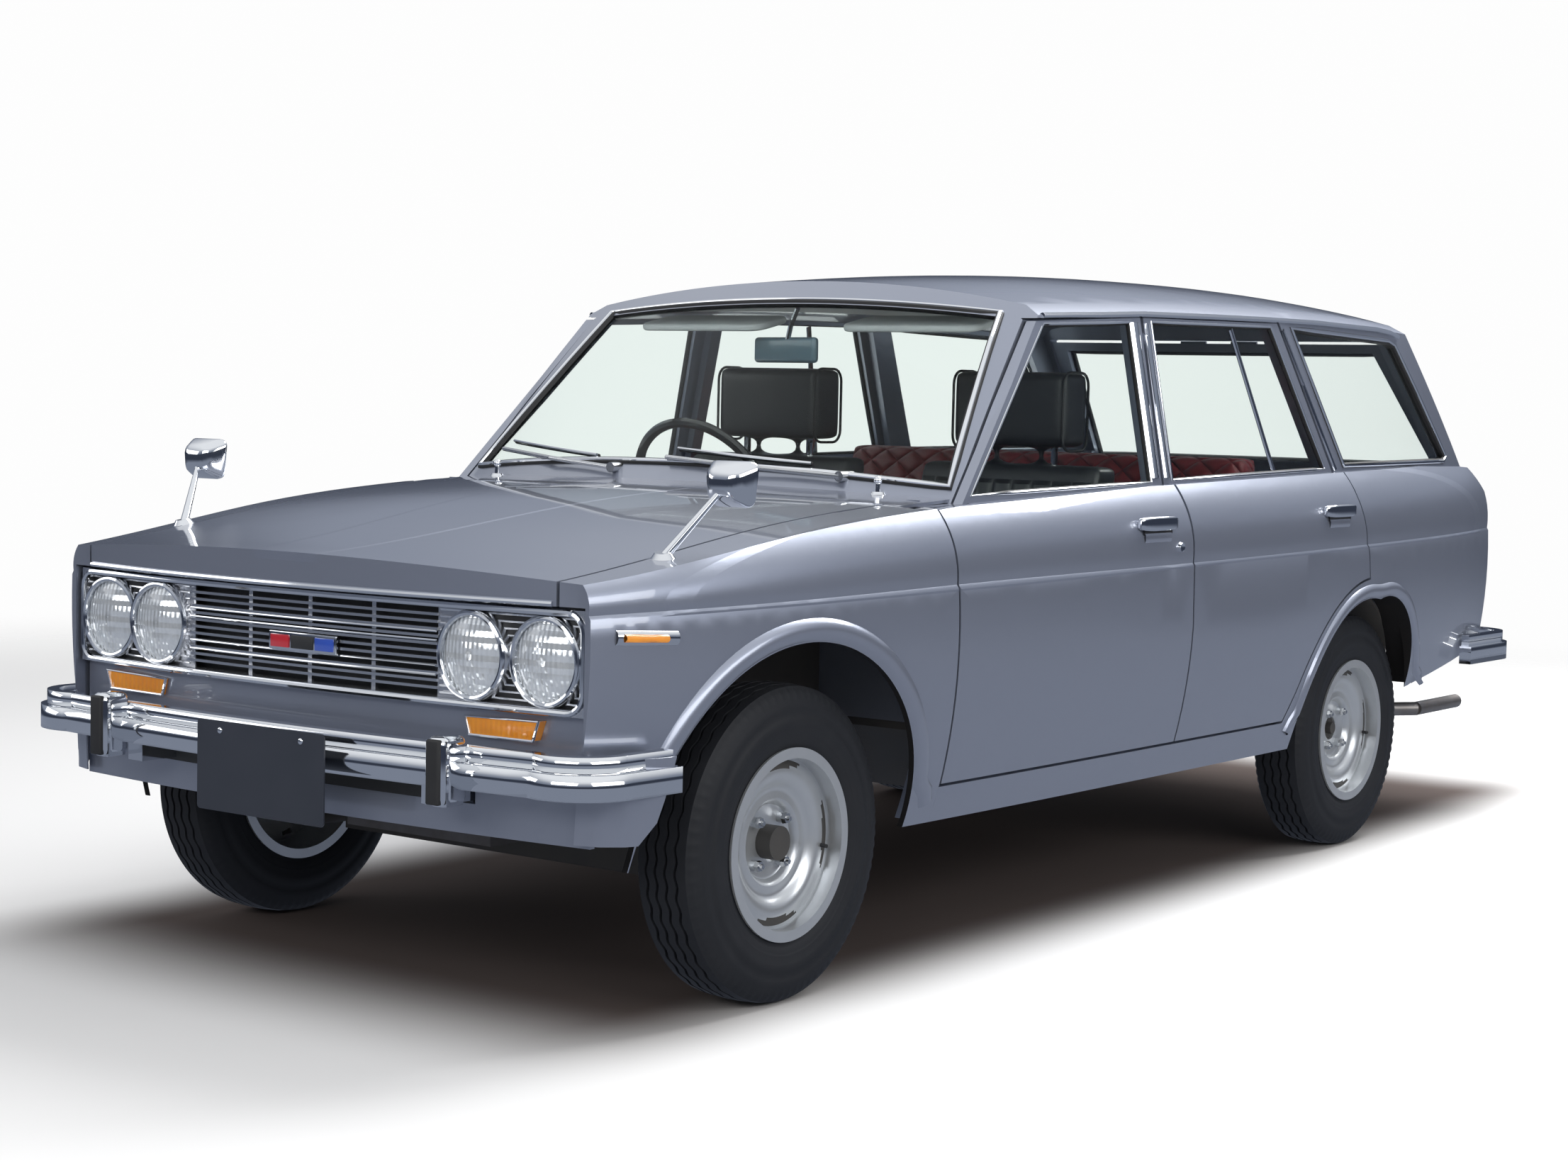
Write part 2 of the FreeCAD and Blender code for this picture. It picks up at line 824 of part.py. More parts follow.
tunnel_outer = Part.makeCylinder(tunnel_radius, kick_y - tunnel_y0, tunnel_foot, vec(0, 1, 0))
tunnel_foot = vec(0, front_end, floor_z)
tunnel_inner = Part.makeCylinder(tunnel_radius - floor_wall, 2 * wheelbase, tunnel_foot, vec(0, 1, 0))
tunnel_cut = block(-tunnel_radius + floor_wall, tunnel_radius - floor_wall, front_end, kick_y, 0, floor_z)
tub_outer_radius = tyre_radius + tyre_width / 3 + floor_wall
tub_x0 = track_rear / 2 - tyre_width / 2 - tyre_width / 3
tub_x1 = floor_half
tub = axle_disc(tub_outer_radius, tub_x0, tub_x1, rear_axle_y, axle_z)
tub_hollow = axle_disc(tub_outer_radius - floor_wall, tub_x0 + floor_wall, far, rear_axle_y, axle_z)
above_cargo = block(0, far, front_end, rear_end, cargo_z - floor_wall, roof_top)
tub_shell = tub.cut(tub_hollow).common(above_cargo).common(body_inner)
rail_x0 = rail_x - rail_wide / 2
rail_x1 = rail_x + rail_wide / 2
frame_rail = block(rail_x0, rail_x1, rail_front_y, rail_back_y, rail_low, rail_high)
apron_x = rail_x + rail_wide / 2 - apron_wall
apron = side_prism([
    (station(apron_front_share), rail_high - floor_wall),
    (station(apron_front_share), apron_front_top),
    (station(apron_bend_share), apron_top),
    (firewall_y - shut_gap, apron_top),
    (firewall_y - shut_gap, rail_high - floor_wall),
], apron_x, apron_x + apron_wall)
tower_top = Part.makeCylinder(tower_radius, apron_wall, vec(tower_x, front_axle_y, tower_z))
tower_web = block(apron_x, tower_x, front_axle_y - tower_radius, front_axle_y + tower_radius,
                  tower_z, tower_z + apron_wall)
apron_riser = block(apron_x, apron_x + apron_wall, front_axle_y - tower_radius, front_axle_y + tower_radius,
                    apron_top, tower_z + apron_wall)
side_metal = frame_rail.fuse([apron, tower_top, tower_web, apron_riser])
floor_pan = pan.fuse([tunnel_outer]).cut([tunnel_inner, tunnel_cut])
floor_pan = floor_pan.cut(block(-far, far, front_end, rear_end, 0, floor_z - floor_wall))
floor_pan = floor_pan.cut([tub_hollow, mirrored(tub_hollow)])
floor_pan = floor_pan.fuse([tub_shell, mirrored(tub_shell), side_metal, mirrored(side_metal)])

# Front panel: the valance below the grille, and the radiator support behind it
grille_face_share = -0.832
support_share = -0.725
support_top_share = 0.505
support_low_share = 0.260
support_hole_low_share = 0.300
support_hole_high_share = 0.480
valance_low_share = 0.240
grille_face_y = station(grille_face_share)
grille_bow = 39
grille_half = across(grille_half_share)
panel_setback = 2
support_y = station(support_share)
support_wall = 10
support_half = 600
support_opening = 300
valance_top = up(grille_bottom_share) - shut_gap / 2
support_top = up(support_top_share)
support_low = up(support_low_share)


def bowed(front, back, z0, z1):
    """The room between two bowed lines of the grille's face, at distances behind it."""
    def edge(offset, side):
        return vec(side * 2 * grille_half, grille_face_y + 2 * 2 * grille_bow + offset, 0)
    wire = Part.Wire([
        arc(edge(front, -1), vec(0, grille_face_y + front, 0), edge(front, 1)),
        line(edge(front, 1), edge(back, 1)),
        arc(edge(back, 1), vec(0, grille_face_y + back, 0), edge(back, -1)),
        line(edge(back, -1), edge(front, -1)),
    ])
    return raised(wire, z0, z1)


signal_front = -6
bracket_x = rail_x
bracket_wide = 40
bracket_low = 404
bracket_high = 456
bumper_wall = 34
bumper_bow_share = 0.25
bumper_middle_y = station(bumper_front_shares[3][1])
bracket_front_y = bumper_middle_y + bumper_wall - bumper_wall * bumper_bow_share
bracket = block(bracket_x - bracket_wide / 2, bracket_x + bracket_wide / 2, bracket_front_y,
                rail_front_y - seat_gap, bracket_low, bracket_high)
bracket_room = block(bracket_x - bracket_wide / 2 - shut_gap, bracket_x + bracket_wide / 2 + shut_gap,
                     front_end, rail_front_y + shut_gap, bracket_low - shut_gap, bracket_high + shut_gap)
valance = bowed(panel_setback, panel_setback + panel_wall, up(valance_low_share), valance_top)
valance = valance.common(block(-grille_half, grille_half, front_end, mid_y, 0, valance_top))
signal_room = through(grown(signal_wire, seat_gap), front_end, support_y)
valance = valance.cut([signal_room, mirrored(signal_room)])
support = block(-support_half, support_half, support_y, support_y + support_wall, support_low, support_top)
support_hole = block(-support_opening, support_opening, front_end, mid_y,
                     up(support_hole_low_share), up(support_hole_high_share))
support = support.cut(support_hole)
web_x = support_half - panel_wall
web = block(web_x, support_half, grille_face_y, support_y + support_wall,
            support_low, valance_top - panel_wall)
web = web.cut(bowed(-overrun, panel_setback + panel_wall / 2, 0, roof_top))
front_panel = valance.fuse([support, web, mirrored(web)]).cut([bracket_room, mirrored(bracket_room)])
rail_room = block(rail_x0 - seat_gap, rail_x1 + seat_gap, rail_front_y - shut_gap, mid_y,
                  rail_low - seat_gap, rail_high + seat_gap)
buffer_x = 520
buffer_radius = 8
buffer_foot = vec(buffer_x, support_y + support_wall / 2, support_top - support_wall)
hood_buffer = Part.makeCylinder(buffer_radius, roof_top, buffer_foot)
hood_buffer = hood_buffer.common(lower_solid(hood_wall + seat_gap, False, hood_wall, 0))
front_panel = front_panel.fuse([hood_buffer, mirrored(hood_buffer)]).cut([rail_room, mirrored(rail_room)])

# Grille: a chrome frame with thin bars in the middle and a pair of lamp bezels each side
bezel_out_x = 566
bezel_in_x = 408
lamp_z = 659
bezel_radius = 80
lens_radius = 71
frame_band = 12
bar_tall = 5
bar_count = 11
bar_half = 322
frame_front = -16
frame_back = 22
bar_deep = 14
post_front = 12
post_back = 18
plate_front = 8
plate_back = 12
bezel_front = -10
bezel_back = 16
grille_low = up(grille_bottom_share)
grille_high = up(grille_top_share)
grille_zone = block(-grille_half, grille_half, front_end, mid_y, grille_low, grille_high)
grille_core = block(-grille_half + frame_band, grille_half - frame_band, front_end, mid_y,
                    grille_low + frame_band, grille_high - frame_band)
grille_frame = grille_zone.cut(grille_core).common(bowed(frame_front, frame_back, 0, roof_top))
bar_places = spaced(grille_low + 2 * frame_band, grille_high - 2 * frame_band - bar_tall, bar_count)
bars = [block(-bar_half, bar_half, front_end, mid_y, z, z + bar_tall) for z in bar_places]
bars = [bar.common(bowed(0, bar_deep, 0, roof_top)) for bar in bars]
post_x = bar_half / 2
post_low = grille_low + frame_band / 2
post_high = grille_high - frame_band / 2
post_room = bowed(post_front, post_back, 0, roof_top)
posts = [block(x - bar_tall, x + bar_tall, front_end, mid_y, post_low, post_high).common(post_room)
         for x in (-post_x, 0, post_x)]
plates = block(bar_half - bar_tall, grille_half - frame_band / 2, front_end, mid_y, post_low, post_high)
plates = plates.common(bowed(plate_front, plate_back, 0, roof_top))


def face_y(x):
    """Where the grille's bowed face lies at a distance from the middle."""
    return grille_face_y + grille_bow * (x / grille_half) ** 2


def lamp_disc(radius, x, front, back):
    """A disc that faces forward at a lamp's place."""
    return Part.makeCylinder(radius, back - front, vec(x, face_y(x) + front, lamp_z), vec(0, 1, 0))


lamp_places = [bezel_out_x, bezel_in_x]
rings = [lamp_disc(bezel_radius, x, bezel_front, bezel_back) for x in lamp_places]
holes = [lamp_disc(lens_radius, x, -overrun, overrun) for x in lamp_places]
side_plate = plates.fuse(rings).cut(holes)
grille = grille_frame.fuse(bars + posts + [side_plate, mirrored(side_plate)])
lens_dome = 14
lens_step_shares = [(0.000, 1.000), (0.500, 0.760), (0.850, 0.280), (1.000, 0.000)]
headlamps = []
for x in lamp_places:
    lamp_radius = lens_radius - seat_gap
    front_y = face_y(x) - bar_tall
    profile = [vec(x + r * lamp_radius, front_y - d * lens_dome, lamp_z) for r, d in lens_step_shares]
    profile += [vec(x + lamp_radius, support_y - seat_gap, lamp_z), vec(x, support_y - seat_gap, lamp_z)]
    lamp_face = Part.Face(closed_wire(profile))
    headlamps.append(lamp_face.revolve(vec(x, front_y, lamp_z), vec(0, 1, 0), full_turn))
headlamps = flat(headlamps + [mirrored(lamp) for lamp in headlamps])
signal_y = face_y(bezel_in_x) + signal_front
turn_signals = both(through(signal_wire, signal_y, support_y - seat_gap))

# Tail lamps at the rear corners
tail_lamp_shares = [(0.772, 0.385), (0.858, 0.392), (0.862, 0.515), (0.775, 0.515)]
tail_lamp_wire = front_wire(tail_lamp_shares)
lamp_stand_out = 14
tail_lamp = through(tail_lamp_wire, station(tail_start_share), rear_end).common(rear_solid(-lamp_stand_out))
tail_lamps = both(tail_lamp.cut(rear_solid(0)))

# Bumpers: a two-tier bar bent round each corner, on two brackets
bumper_low = 438
bumper_high = 512
bumper_tier = 484
tier_step = 12
bumper_front_wire = plan_wire(bumper_front_shares)
bumper_rear_wire = plan_wire(bumper_rear_shares)


def bumper(wire, low, high, tier, open_end):
    """A bumper bar: a hollow plan outline with its upper tier set back."""
    bar = raised(wire, low, tier).fuse(raised(grown(wire, -tier_step), tier, high))
    hollow = raised(grown(wire, -bumper_wall), 0, roof_top)
    hollow_end = hollow.copy()
    hollow_end.translate(vec(0, open_end * 2 * bumper_wall, 0))
    return bar.cut([hollow, hollow_end])


overrider_x = 438.6
overrider_wide = 50
overrider_low = 412
overrider_high = 524
overrider_deep = 40
overrider_front_y = -overall_length / 2
bumper_front = bumper(bumper_front_wire, bumper_low, bumper_high, bumper_tier, 1)
overrider = block(overrider_x - overrider_wide / 2, overrider_x + overrider_wide / 2,
                  overrider_front_y, overrider_front_y + overrider_deep, overrider_low, overrider_high)
bumper_front = bumper_front.fuse([overrider, mirrored(overrider), bracket, mirrored(bracket)])
rear_low = 424
rear_high = 502
rear_tier = 472
bumper_rear = bumper(bumper_rear_wire, rear_low, rear_high, rear_tier, -1)
rear_arm_x = 450
rear_arm = block(rear_arm_x - bracket_wide / 2, rear_arm_x + bracket_wide / 2, rear_panel_y,
                 overall_length / 2 - bumper_wall, rear_high - bracket_wide, rear_high - tier_step)
rear_arm = rear_arm.cut(rear_solid(-seat_gap))
bumper_rear = bumper_rear.fuse([rear_arm, mirrored(rear_arm)])

export_pair("side_frame", side_frame)
export_pair("fender", fender)
export("roof_panel", roof_panel)
export("hood", hood)
export("cowl_panel", cowl_panel)
export("tailgate", tailgate)
export("windshield", windshield)
export("tailgate_glass", tailgate_glass)
export("quarter_glass", both(quarter_pane))
export("floor_pan", floor_pan)
export("front_panel", front_panel)
export("grille", grille)
export("headlamps", headlamps)
export("turn_signals", turn_signals)
export("tail_lamps", tail_lamps)
export("bumper_front", bumper_front)
export("bumper_rear", bumper_rear)
export("rear_panel", rear_panel)

# Seats: a cushion and a back in the side view, and a headrest on two posts
seat_front_x = 345
seat_half = 238
seat_hip_share = 0.500
rear_hip_share = 0.785
seat_hip_y = station(seat_hip_share)
cushion_top = 560
cushion_deep = 150
cushion_long = 480
back_tall = 415
back_thick = 120
back_lean = 120
headrest_tall = 170
headrest_thick = 110
headrest_half = 150
headrest_gap = 40
post_radius = 7
post_spread = 60
runner_wide = 30


def seat(x, half, hip_y, long, tall):
    """One seat: cushion on two runners and a leaning back."""
    front_y = hip_y - long
    low = cushion_top - cushion_deep
    cushion = side_prism([
        (front_y, low),
        (front_y, cushion_top),
        (hip_y, cushion_top - cushion_deep / 4),
        (hip_y + back_thick / 2, low),
    ], x - half, x + half)
    lean = back_lean * tall / back_tall
    back = side_prism([
        (hip_y - back_thick / 4, cushion_top - cushion_deep / 3),
        (hip_y + lean - back_thick / 4, cushion_top + tall),
        (hip_y + lean + back_thick / 2, cushion_top + tall),
        (hip_y + back_thick, low),
        (hip_y + back_thick / 2, low),
    ], x - half, x + half)
    feet = []
    for side in (-1, 1):
        foot_x = x + side * (half - 2 * runner_wide)
        feet.append(block(foot_x - runner_wide / 2, foot_x + runner_wide / 2, front_y + runner_wide,
                          hip_y - runner_wide, floor_z, low))
    return cushion.fuse([back] + feet)


def headrest(x, hip_y):
    """A headrest and its two posts, which stand in the seat's back."""
    top_y = hip_y + back_lean + back_thick / 8
    low = cushion_top + back_tall + headrest_gap
    pad = block(x - headrest_half, x + headrest_half, top_y - headrest_thick / 2, top_y + headrest_thick / 2,
                low, low + headrest_tall)
    posts = [rod(vec(x + side * post_spread, top_y, cushion_top + back_tall - headrest_gap),
                 vec(x + side * post_spread, top_y, low + headrest_gap), post_radius) for side in (-1, 1)]
    return [pad] + posts


seat_front = seat(seat_front_x, seat_half, seat_hip_y, cushion_long, back_tall)
seat_front = seat_front.fuse(headrest(seat_front_x, seat_hip_y))
rear_hip_y = station(rear_hip_share)
rear_half = 585
rear_long = 430
rear_tall = 430
tunnel_room_foot = vec(0, front_axle_y, floor_z)
tunnel_room = Part.makeCylinder(tunnel_radius + seat_gap, wheelbase, tunnel_room_foot, vec(0, 1, 0))
seat_rear = seat(0, rear_half, rear_hip_y, rear_long, rear_tall).cut(tunnel_room)

# Dashboard with the steering column, and the steering wheel on it
dash_half = 655
dash_front_y = firewall_y + firewall_wall + seat_gap
dash_back_share = 0.335
dash_back_y = station(dash_back_share)
dash_low = 640
dash_top = 868
dash_lip = 60
wheel_x = -340
wheel_share = 0.435
wheel_y = station(wheel_share)
wheel_z = 880
wheel_reach = 300
wheel_drop = 150
column_radius = 24
wheel_ring_radius = 190
wheel_ring_tube = 12
wheel_hub_radius = 42
wheel_hub_deep = 36
spoke_wide = 26
spoke_thick = 8
dashboard = side_prism([
    (dash_front_y, dash_low),
    (dash_front_y, dash_top),
    (dash_back_y - dash_lip, dash_top),
    (dash_back_y, dash_top - dash_lip),
    (dash_back_y - dash_lip, dash_low),
], -dash_half, dash_half)
column_way = vec(0, wheel_reach, wheel_drop)
column_way.normalize()
wheel_centre = vec(wheel_x, wheel_y, wheel_z)
hub_back = wheel_centre.sub(column_way * wheel_hub_deep)
column_foot = hub_back.sub(column_way * (wheel_reach + dash_lip))
column = rod(column_foot, hub_back.sub(column_way * seat_gap), column_radius)
dashboard = dashboard.fuse(column)
wheel_ring = ring(wheel_centre, column_way, wheel_ring_radius, wheel_ring_tube)
wheel_hub = Part.makeCylinder(wheel_hub_radius, wheel_hub_deep, hub_back, column_way)
spoke_box = Part.makeBox(2 * wheel_ring_radius, spoke_wide, spoke_thick,
                         vec(-wheel_ring_radius, -spoke_wide / 2, -spoke_thick / 2))
lean = math.degrees(math.atan2(wheel_reach, wheel_drop))
spoke_box.rotate(vec(0, 0, 0), vec(1, 0, 0), -lean)
spoke_box.translate(wheel_centre.sub(column_way * wheel_hub_deep / 3))
steering_wheel = wheel_ring.fuse([wheel_hub, spoke_box])

# Engine: one plain block, with its gearbox and propeller shaft down the tunnel
engine_half = 190
engine_front_share = -0.380
engine_back_share = 0.140
engine_front_y = station(engine_front_share)
engine_back_y = station(engine_back_share)
engine_low = 262
engine_top = 730
gearbox_radius = 95
gearbox_end_share = 0.420
gearbox_end_y = station(gearbox_end_share)
shaft_radius = 34
shaft_drop = 30
shaft_z = floor_z - shaft_drop
engine_block = block(-engine_half, engine_half, engine_front_y, engine_back_y, engine_low, engine_top)
gearbox_foot = vec(0, engine_back_y, shaft_z)
gearbox = Part.makeCylinder(gearbox_radius, gearbox_end_y - engine_back_y, gearbox_foot, vec(0, 1, 0))
engine_block = engine_block.fuse(gearbox)

# Front suspension: crossmember with lower arms, and a knuckle with its strut each side
pin_low_x = 578
pin_low_z = 200
pin_top_x = 500
pin_top_z = tower_z - seat_gap
member_wide = 80
member_low = 205
member_high = 262
member_half = rail_x + rail_wide / 2
arm_radius = 14
ball_radius = 19
strut_radius = 24
spring_radius = 58
spring_low = 640
spring_high = 770
stub_radius = 15
stub_end = 676
drum_radius = 104
drum_x0 = 606
hub_face_x = 644
upright_wide = 56
upright_x0 = 556
upright_x1 = 582
pin_clear = 8
pin_radius = 8
arm_inner = vec(member_half - arm_radius, front_axle_y, (member_low + member_high) / 2)
arm_outer = vec(pin_low_x, front_axle_y, pin_low_z)
ball_socket = Part.makeCylinder(ball_radius, ball_radius, arm_outer.sub(vec(0, 0, ball_radius / 2)))
crossmember = block(-member_half, member_half, front_axle_y - member_wide / 2, front_axle_y + member_wide / 2,
                    member_low, member_high)
hanger = block(rail_x - rail_wide / 2, rail_x + rail_wide / 2, front_axle_y - member_wide / 2,
               front_axle_y + member_wide / 2, member_high, rail_low)
arm = rod(arm_inner, arm_outer, arm_radius)
member_pieces = [hanger, arm, ball_socket]
crossmember = crossmember.fuse(member_pieces + [mirrored(piece) for piece in member_pieces])
pin_way = vec(pin_top_x - pin_low_x, 0, pin_top_z - pin_low_z)
pin_way.normalize()


def pin_point(z):
    """A point on the steering pin's line at a height."""
    share = (z - pin_low_z) / (pin_top_z - pin_low_z)
    return vec(pin_low_x + share * (pin_top_x - pin_low_x), front_axle_y, z)


upright_z = pin_low_z + arm_radius + pin_clear
upright = block(upright_x0, upright_x1, front_axle_y - upright_wide / 2, front_axle_y + upright_wide / 2,
                upright_z, axle_z + upright_wide)
ball_pin = rod(pin_point(upright_z - pin_clear / 2), pin_point(upright_z + pin_clear), pin_radius)
stub = axle_disc(stub_radius, upright_x0, stub_end, front_axle_y, axle_z)
drum = axle_disc(drum_radius, drum_x0, hub_face_x - seat_gap, front_axle_y, axle_z)
strut = rod(pin_point(axle_z), pin_point(pin_top_z - strut_radius / 3), strut_radius)
spring = rod(pin_point(spring_low), pin_point(spring_high), spring_radius)
knuckle = upright.fuse([stub, drum, strut, spring, ball_pin])

# Rear axle: a live axle with its differential, drums and leaf springs
axle_radius = 36
diff_radius = 120
diff_wide = 150
rear_drum_x0 = 566
rear_face_x = track_rear / 2 + 4
spring_x = 500
spring_wide = 50
leaf_thick = 22
spring_reach_front = 560
spring_reach_back = 600
spring_front_z = 270
spring_back_z = 340
rear_axle = axle_disc(axle_radius, -rear_drum_x0, rear_drum_x0, rear_axle_y, axle_z)
diff = axle_disc(diff_radius, -diff_wide / 2, diff_wide / 2, rear_axle_y, axle_z)
rear_stub = axle_disc(stub_radius, rear_drum_x0, rear_face_x + arm_radius, rear_axle_y, axle_z)
rear_drum = axle_disc(drum_radius, rear_drum_x0, rear_face_x - seat_gap, rear_axle_y, axle_z)
leaf = side_prism([
    (rear_axle_y - spring_reach_front, spring_front_z),
    (rear_axle_y, axle_z - axle_radius - leaf_thick / 2),
    (rear_axle_y + spring_reach_back, spring_back_z),
    (rear_axle_y + spring_reach_back, spring_back_z + leaf_thick),
    (rear_axle_y, axle_z - axle_radius + leaf_thick / 2),
    (rear_axle_y - spring_reach_front, spring_front_z + leaf_thick),
], spring_x - spring_wide / 2, spring_x + spring_wide / 2)
shackle_y = rear_axle_y + spring_reach_back
shackle = block(spring_x - spring_wide / 2, spring_x + spring_wide / 2, shackle_y - spring_wide, shackle_y,
                spring_back_z, cargo_z - floor_wall - seat_gap)
hinge_y = rear_axle_y - spring_reach_front
hinge_block = block(spring_x - spring_wide / 2, spring_x + spring_wide / 2, hinge_y, hinge_y + spring_wide,
                    spring_front_z, floor_z - floor_wall - seat_gap)
prop_shaft = Part.makeCylinder(shaft_radius, rear_axle_y - gearbox_end_y - seat_gap,
                               vec(0, gearbox_end_y + seat_gap, shaft_z), vec(0, 1, 0))
rear_pieces = [rear_stub, rear_drum, leaf, shackle, hinge_block]
rear_axle = rear_axle.fuse([diff, prop_shaft] + rear_pieces + [mirrored(piece) for piece in rear_pieces])

# Exhaust and fuel tank
pipe_radius = 19
pipe_z = 285
muffler_radius = 50
muffler_long = 420
tail_pipe_x = 580
pipe_over_x = 330
pipe_over_z = 400
pipe_out_x = 440
pipe_x = 210
muffler_share = 0.550
pipe_route = [
    (pipe_x, 0.180, pipe_z),
    (pipe_x, 0.855, pipe_z),
    (pipe_over_x, 0.935, pipe_over_z),
    (pipe_over_x, 1.180, pipe_over_z),
    (pipe_out_x, 1.480, pipe_z),
    (tail_pipe_x, 1.660, pipe_z),
    (tail_pipe_x, 1.930, pipe_z),
]
pipe_points = [vec(x, station(share), z) for x, share, z in pipe_route]
exhaust = tube_path(pipe_points, pipe_radius)
muffler_foot = vec(pipe_x, station(muffler_share), pipe_z - pipe_radius)
muffler = Part.makeCylinder(muffler_radius, muffler_long, muffler_foot, vec(0, 1, 0))
strap_wide = 30
strap_y = station(muffler_share) + muffler_long / 2
strap = block(pipe_x - strap_wide / 2, pipe_x + strap_wide / 2, strap_y, strap_y + strap_wide,
              pipe_z, floor_z - floor_wall - seat_gap)
exhaust = exhaust.fuse([muffler, strap])
tank_x0 = -420
tank_x1 = 240
tank_low = 330
tank_front_share = 1.300
tank_back_share = 1.780
tank_y0 = station(tank_front_share)
tank_y1 = station(tank_back_share)
fuel_tank = block(tank_x0, tank_x1, tank_y0, tank_y1, tank_low, cargo_z - floor_wall - seat_gap)

# Wheels: a pressed rim with slots and a tyre on it
rim_sheet = 5
disc_face = 12
disc_radius = 150
hub_bore = 30
dish_radius = 78
dish_depth = 26
slot_count = 12
slot_radius = 140
slot_long = 26
slot_wide = 12
cap_radius = 27
cap_long = 34
lug_count = 4
lug_circle = 57
lug_radius = 10
lug_tall = 14
tyre_bead = 12
tyre_shoulder = 22
tread_half = 56


def wheel_profile(points, centre_x, y):
    """A ring about the wheel's axis from (across, radius) points, some of them arcs."""
    corners = []
    for row in points:
        made = [vec(centre_x + a, y, axle_z + r) for a, r in zip(row[0::2], row[1::2])]
        corners.append(made[0] if len(made) == 1 else tuple(made))
    face = Part.Face(closed_wire(corners))
    return face.revolve(vec(centre_x, y, axle_z), vec(1, 0, 0), full_turn)


def tyre(centre_x, y):
    """A hollow tyre: tread, rounded shoulders, bulged walls and beads."""
    half = tyre_width / 2
    bead_x = rim_width / 2 - seat_gap
    bead_r = rim_seat_radius + seat_gap
    wall_r = (bead_r + tyre_radius) / 2
    shoulder_r = tyre_radius - tyre_shoulder / 3
    tread_crown = tread_half / 2
    outside = [
        (bead_x, bead_r),
        (bead_x, rim_radius),
        (half - tyre_bead / 2, rim_radius + tyre_shoulder / 2),
        (half, wall_r),
        (half - tyre_bead / 2, tyre_radius - tyre_shoulder),
        (tread_half, shoulder_r),
        (tread_crown, tyre_radius),
    ]
    inside = [
        (tread_half - tyre_bead, tyre_radius - tyre_shoulder),
        (half - tyre_bead, wall_r),
        (bead_x - tyre_bead, bead_r + tyre_bead),
        (bead_x - tyre_bead, bead_r),
    ]
    left_side = outside + [(-a, r) for a, r in reversed(outside)]
    right_side = [(-a, r) for a, r in reversed(inside)] + inside
    return wheel_profile(left_side + right_side, centre_x, y)


def rim(centre_x, y, face_x, front):
    """A left wheel: barrel with lips, dished disc with slots, lugs and a cap."""
    half = rim_width / 2
    outer = rim_seat_radius
    barrel = wheel_profile([
        (-half, rim_radius),
        (-half - rim_sheet, rim_radius),
        (-half - rim_sheet, outer - rim_sheet),
        (half + rim_sheet, outer - rim_sheet),
        (half + rim_sheet, rim_radius),
        (half, rim_radius),
        (half, outer),
        (-half, outer),
    ], centre_x, y)
    back = face_x - centre_x
    disc_edge = outer - rim_sheet / 2
    disc = wheel_profile([
        (back, hub_bore),
        (back, dish_radius),
        (back + dish_depth, disc_radius - disc_face),
        (back + dish_depth, disc_edge),
        (back + dish_depth + rim_sheet, disc_edge),
        (back + dish_depth + rim_sheet, disc_radius - disc_face - rim_sheet),
        (back + rim_sheet, dish_radius - rim_sheet),
        (back + rim_sheet, hub_bore),
    ], centre_x, y)
    slots = []
    for i in range(slot_count):
        slot = block(face_x - overrun, face_x + overrun, y - slot_long / 2, y + slot_long / 2,
                     axle_z + slot_radius, axle_z + slot_radius + slot_wide)
        slot.rotate(vec(0, y, axle_z), vec(1, 0, 0), (i + 1 / 2) * full_turn / slot_count)
        slots.append(slot)
    lugs = []
    for i in range(lug_count):
        angle = math.tau * (i + 1 / 2) / lug_count
        lugs.append(axle_disc(lug_radius, face_x + rim_sheet / 2, face_x + rim_sheet + lug_tall,
                              y + lug_circle * math.cos(angle), axle_z + lug_circle * math.sin(angle)))
    solid = barrel.fuse([disc.cut(slots)] + lugs)
    if front:
        cap_end = face_x + cap_long + rim_sheet
        cap_shell = axle_disc(cap_radius + rim_sheet, face_x + rim_sheet / 2, cap_end, y, axle_z)
        cap_room = axle_disc(cap_radius, face_x - overrun, face_x + cap_long, y, axle_z)
        solid = solid.fuse(cap_shell.cut(cap_room))
    return solid


wheel_names = {"front": (track_front / 2, front_axle_y, hub_face_x, True),
               "rear": (track_rear / 2, rear_axle_y, rear_face_x, False)}
for place, (centre_x, y, face_x, front) in wheel_names.items():
    export_pair("tyre_" + place, tyre(centre_x, y))
    export_pair("rim_" + place, rim(centre_x, y, face_x, front))

# Fender mirrors and wipers
mirror_x = 628
mirror_share = -0.443
mirror_head_share = -0.270
mirror_head_x = 690
mirror_head_z = 962
mirror_y = station(mirror_share)
mirror_base_z = 828
mirror_head = vec(mirror_head_x, station(mirror_head_share), mirror_head_z)
mirror_base_radius = 24
mirror_base_tall = 10
mirror_arm_radius = 6
mirror_half = (62, 34, 46)
mirror_foot = vec(mirror_x, mirror_y, mirror_base_z)
mirror_step_shares = [(-1.00, 0.30), (-0.75, 0.72), (-0.30, 0.94), (0.33, 1.00)]
mirror_wires = []
for depth_share, size_share in mirror_step_shares:
    oval = []
    for i in range(oval_sides):
        angle = math.tau * i / oval_sides
        oval.append(vec(mirror_half[0] * size_share * math.cos(angle), mirror_half[1] * depth_share,
                        mirror_half[2] * size_share * math.sin(angle)))
    mirror_wires.append(closed_wire(oval))
mirror_shell = Part.makeLoft(mirror_wires, True, True)
mirror_shell.translate(mirror_head)
mirror_base = Part.makeCylinder(mirror_base_radius, 2 * mirror_base_tall, mirror_foot)
mirror_arm = rod(mirror_foot, mirror_head, mirror_arm_radius)
fender_mirror = mirror_base.fuse([mirror_arm, mirror_shell]).cut(body_outer)
fender_mirrors = both(largest(fender_mirror))


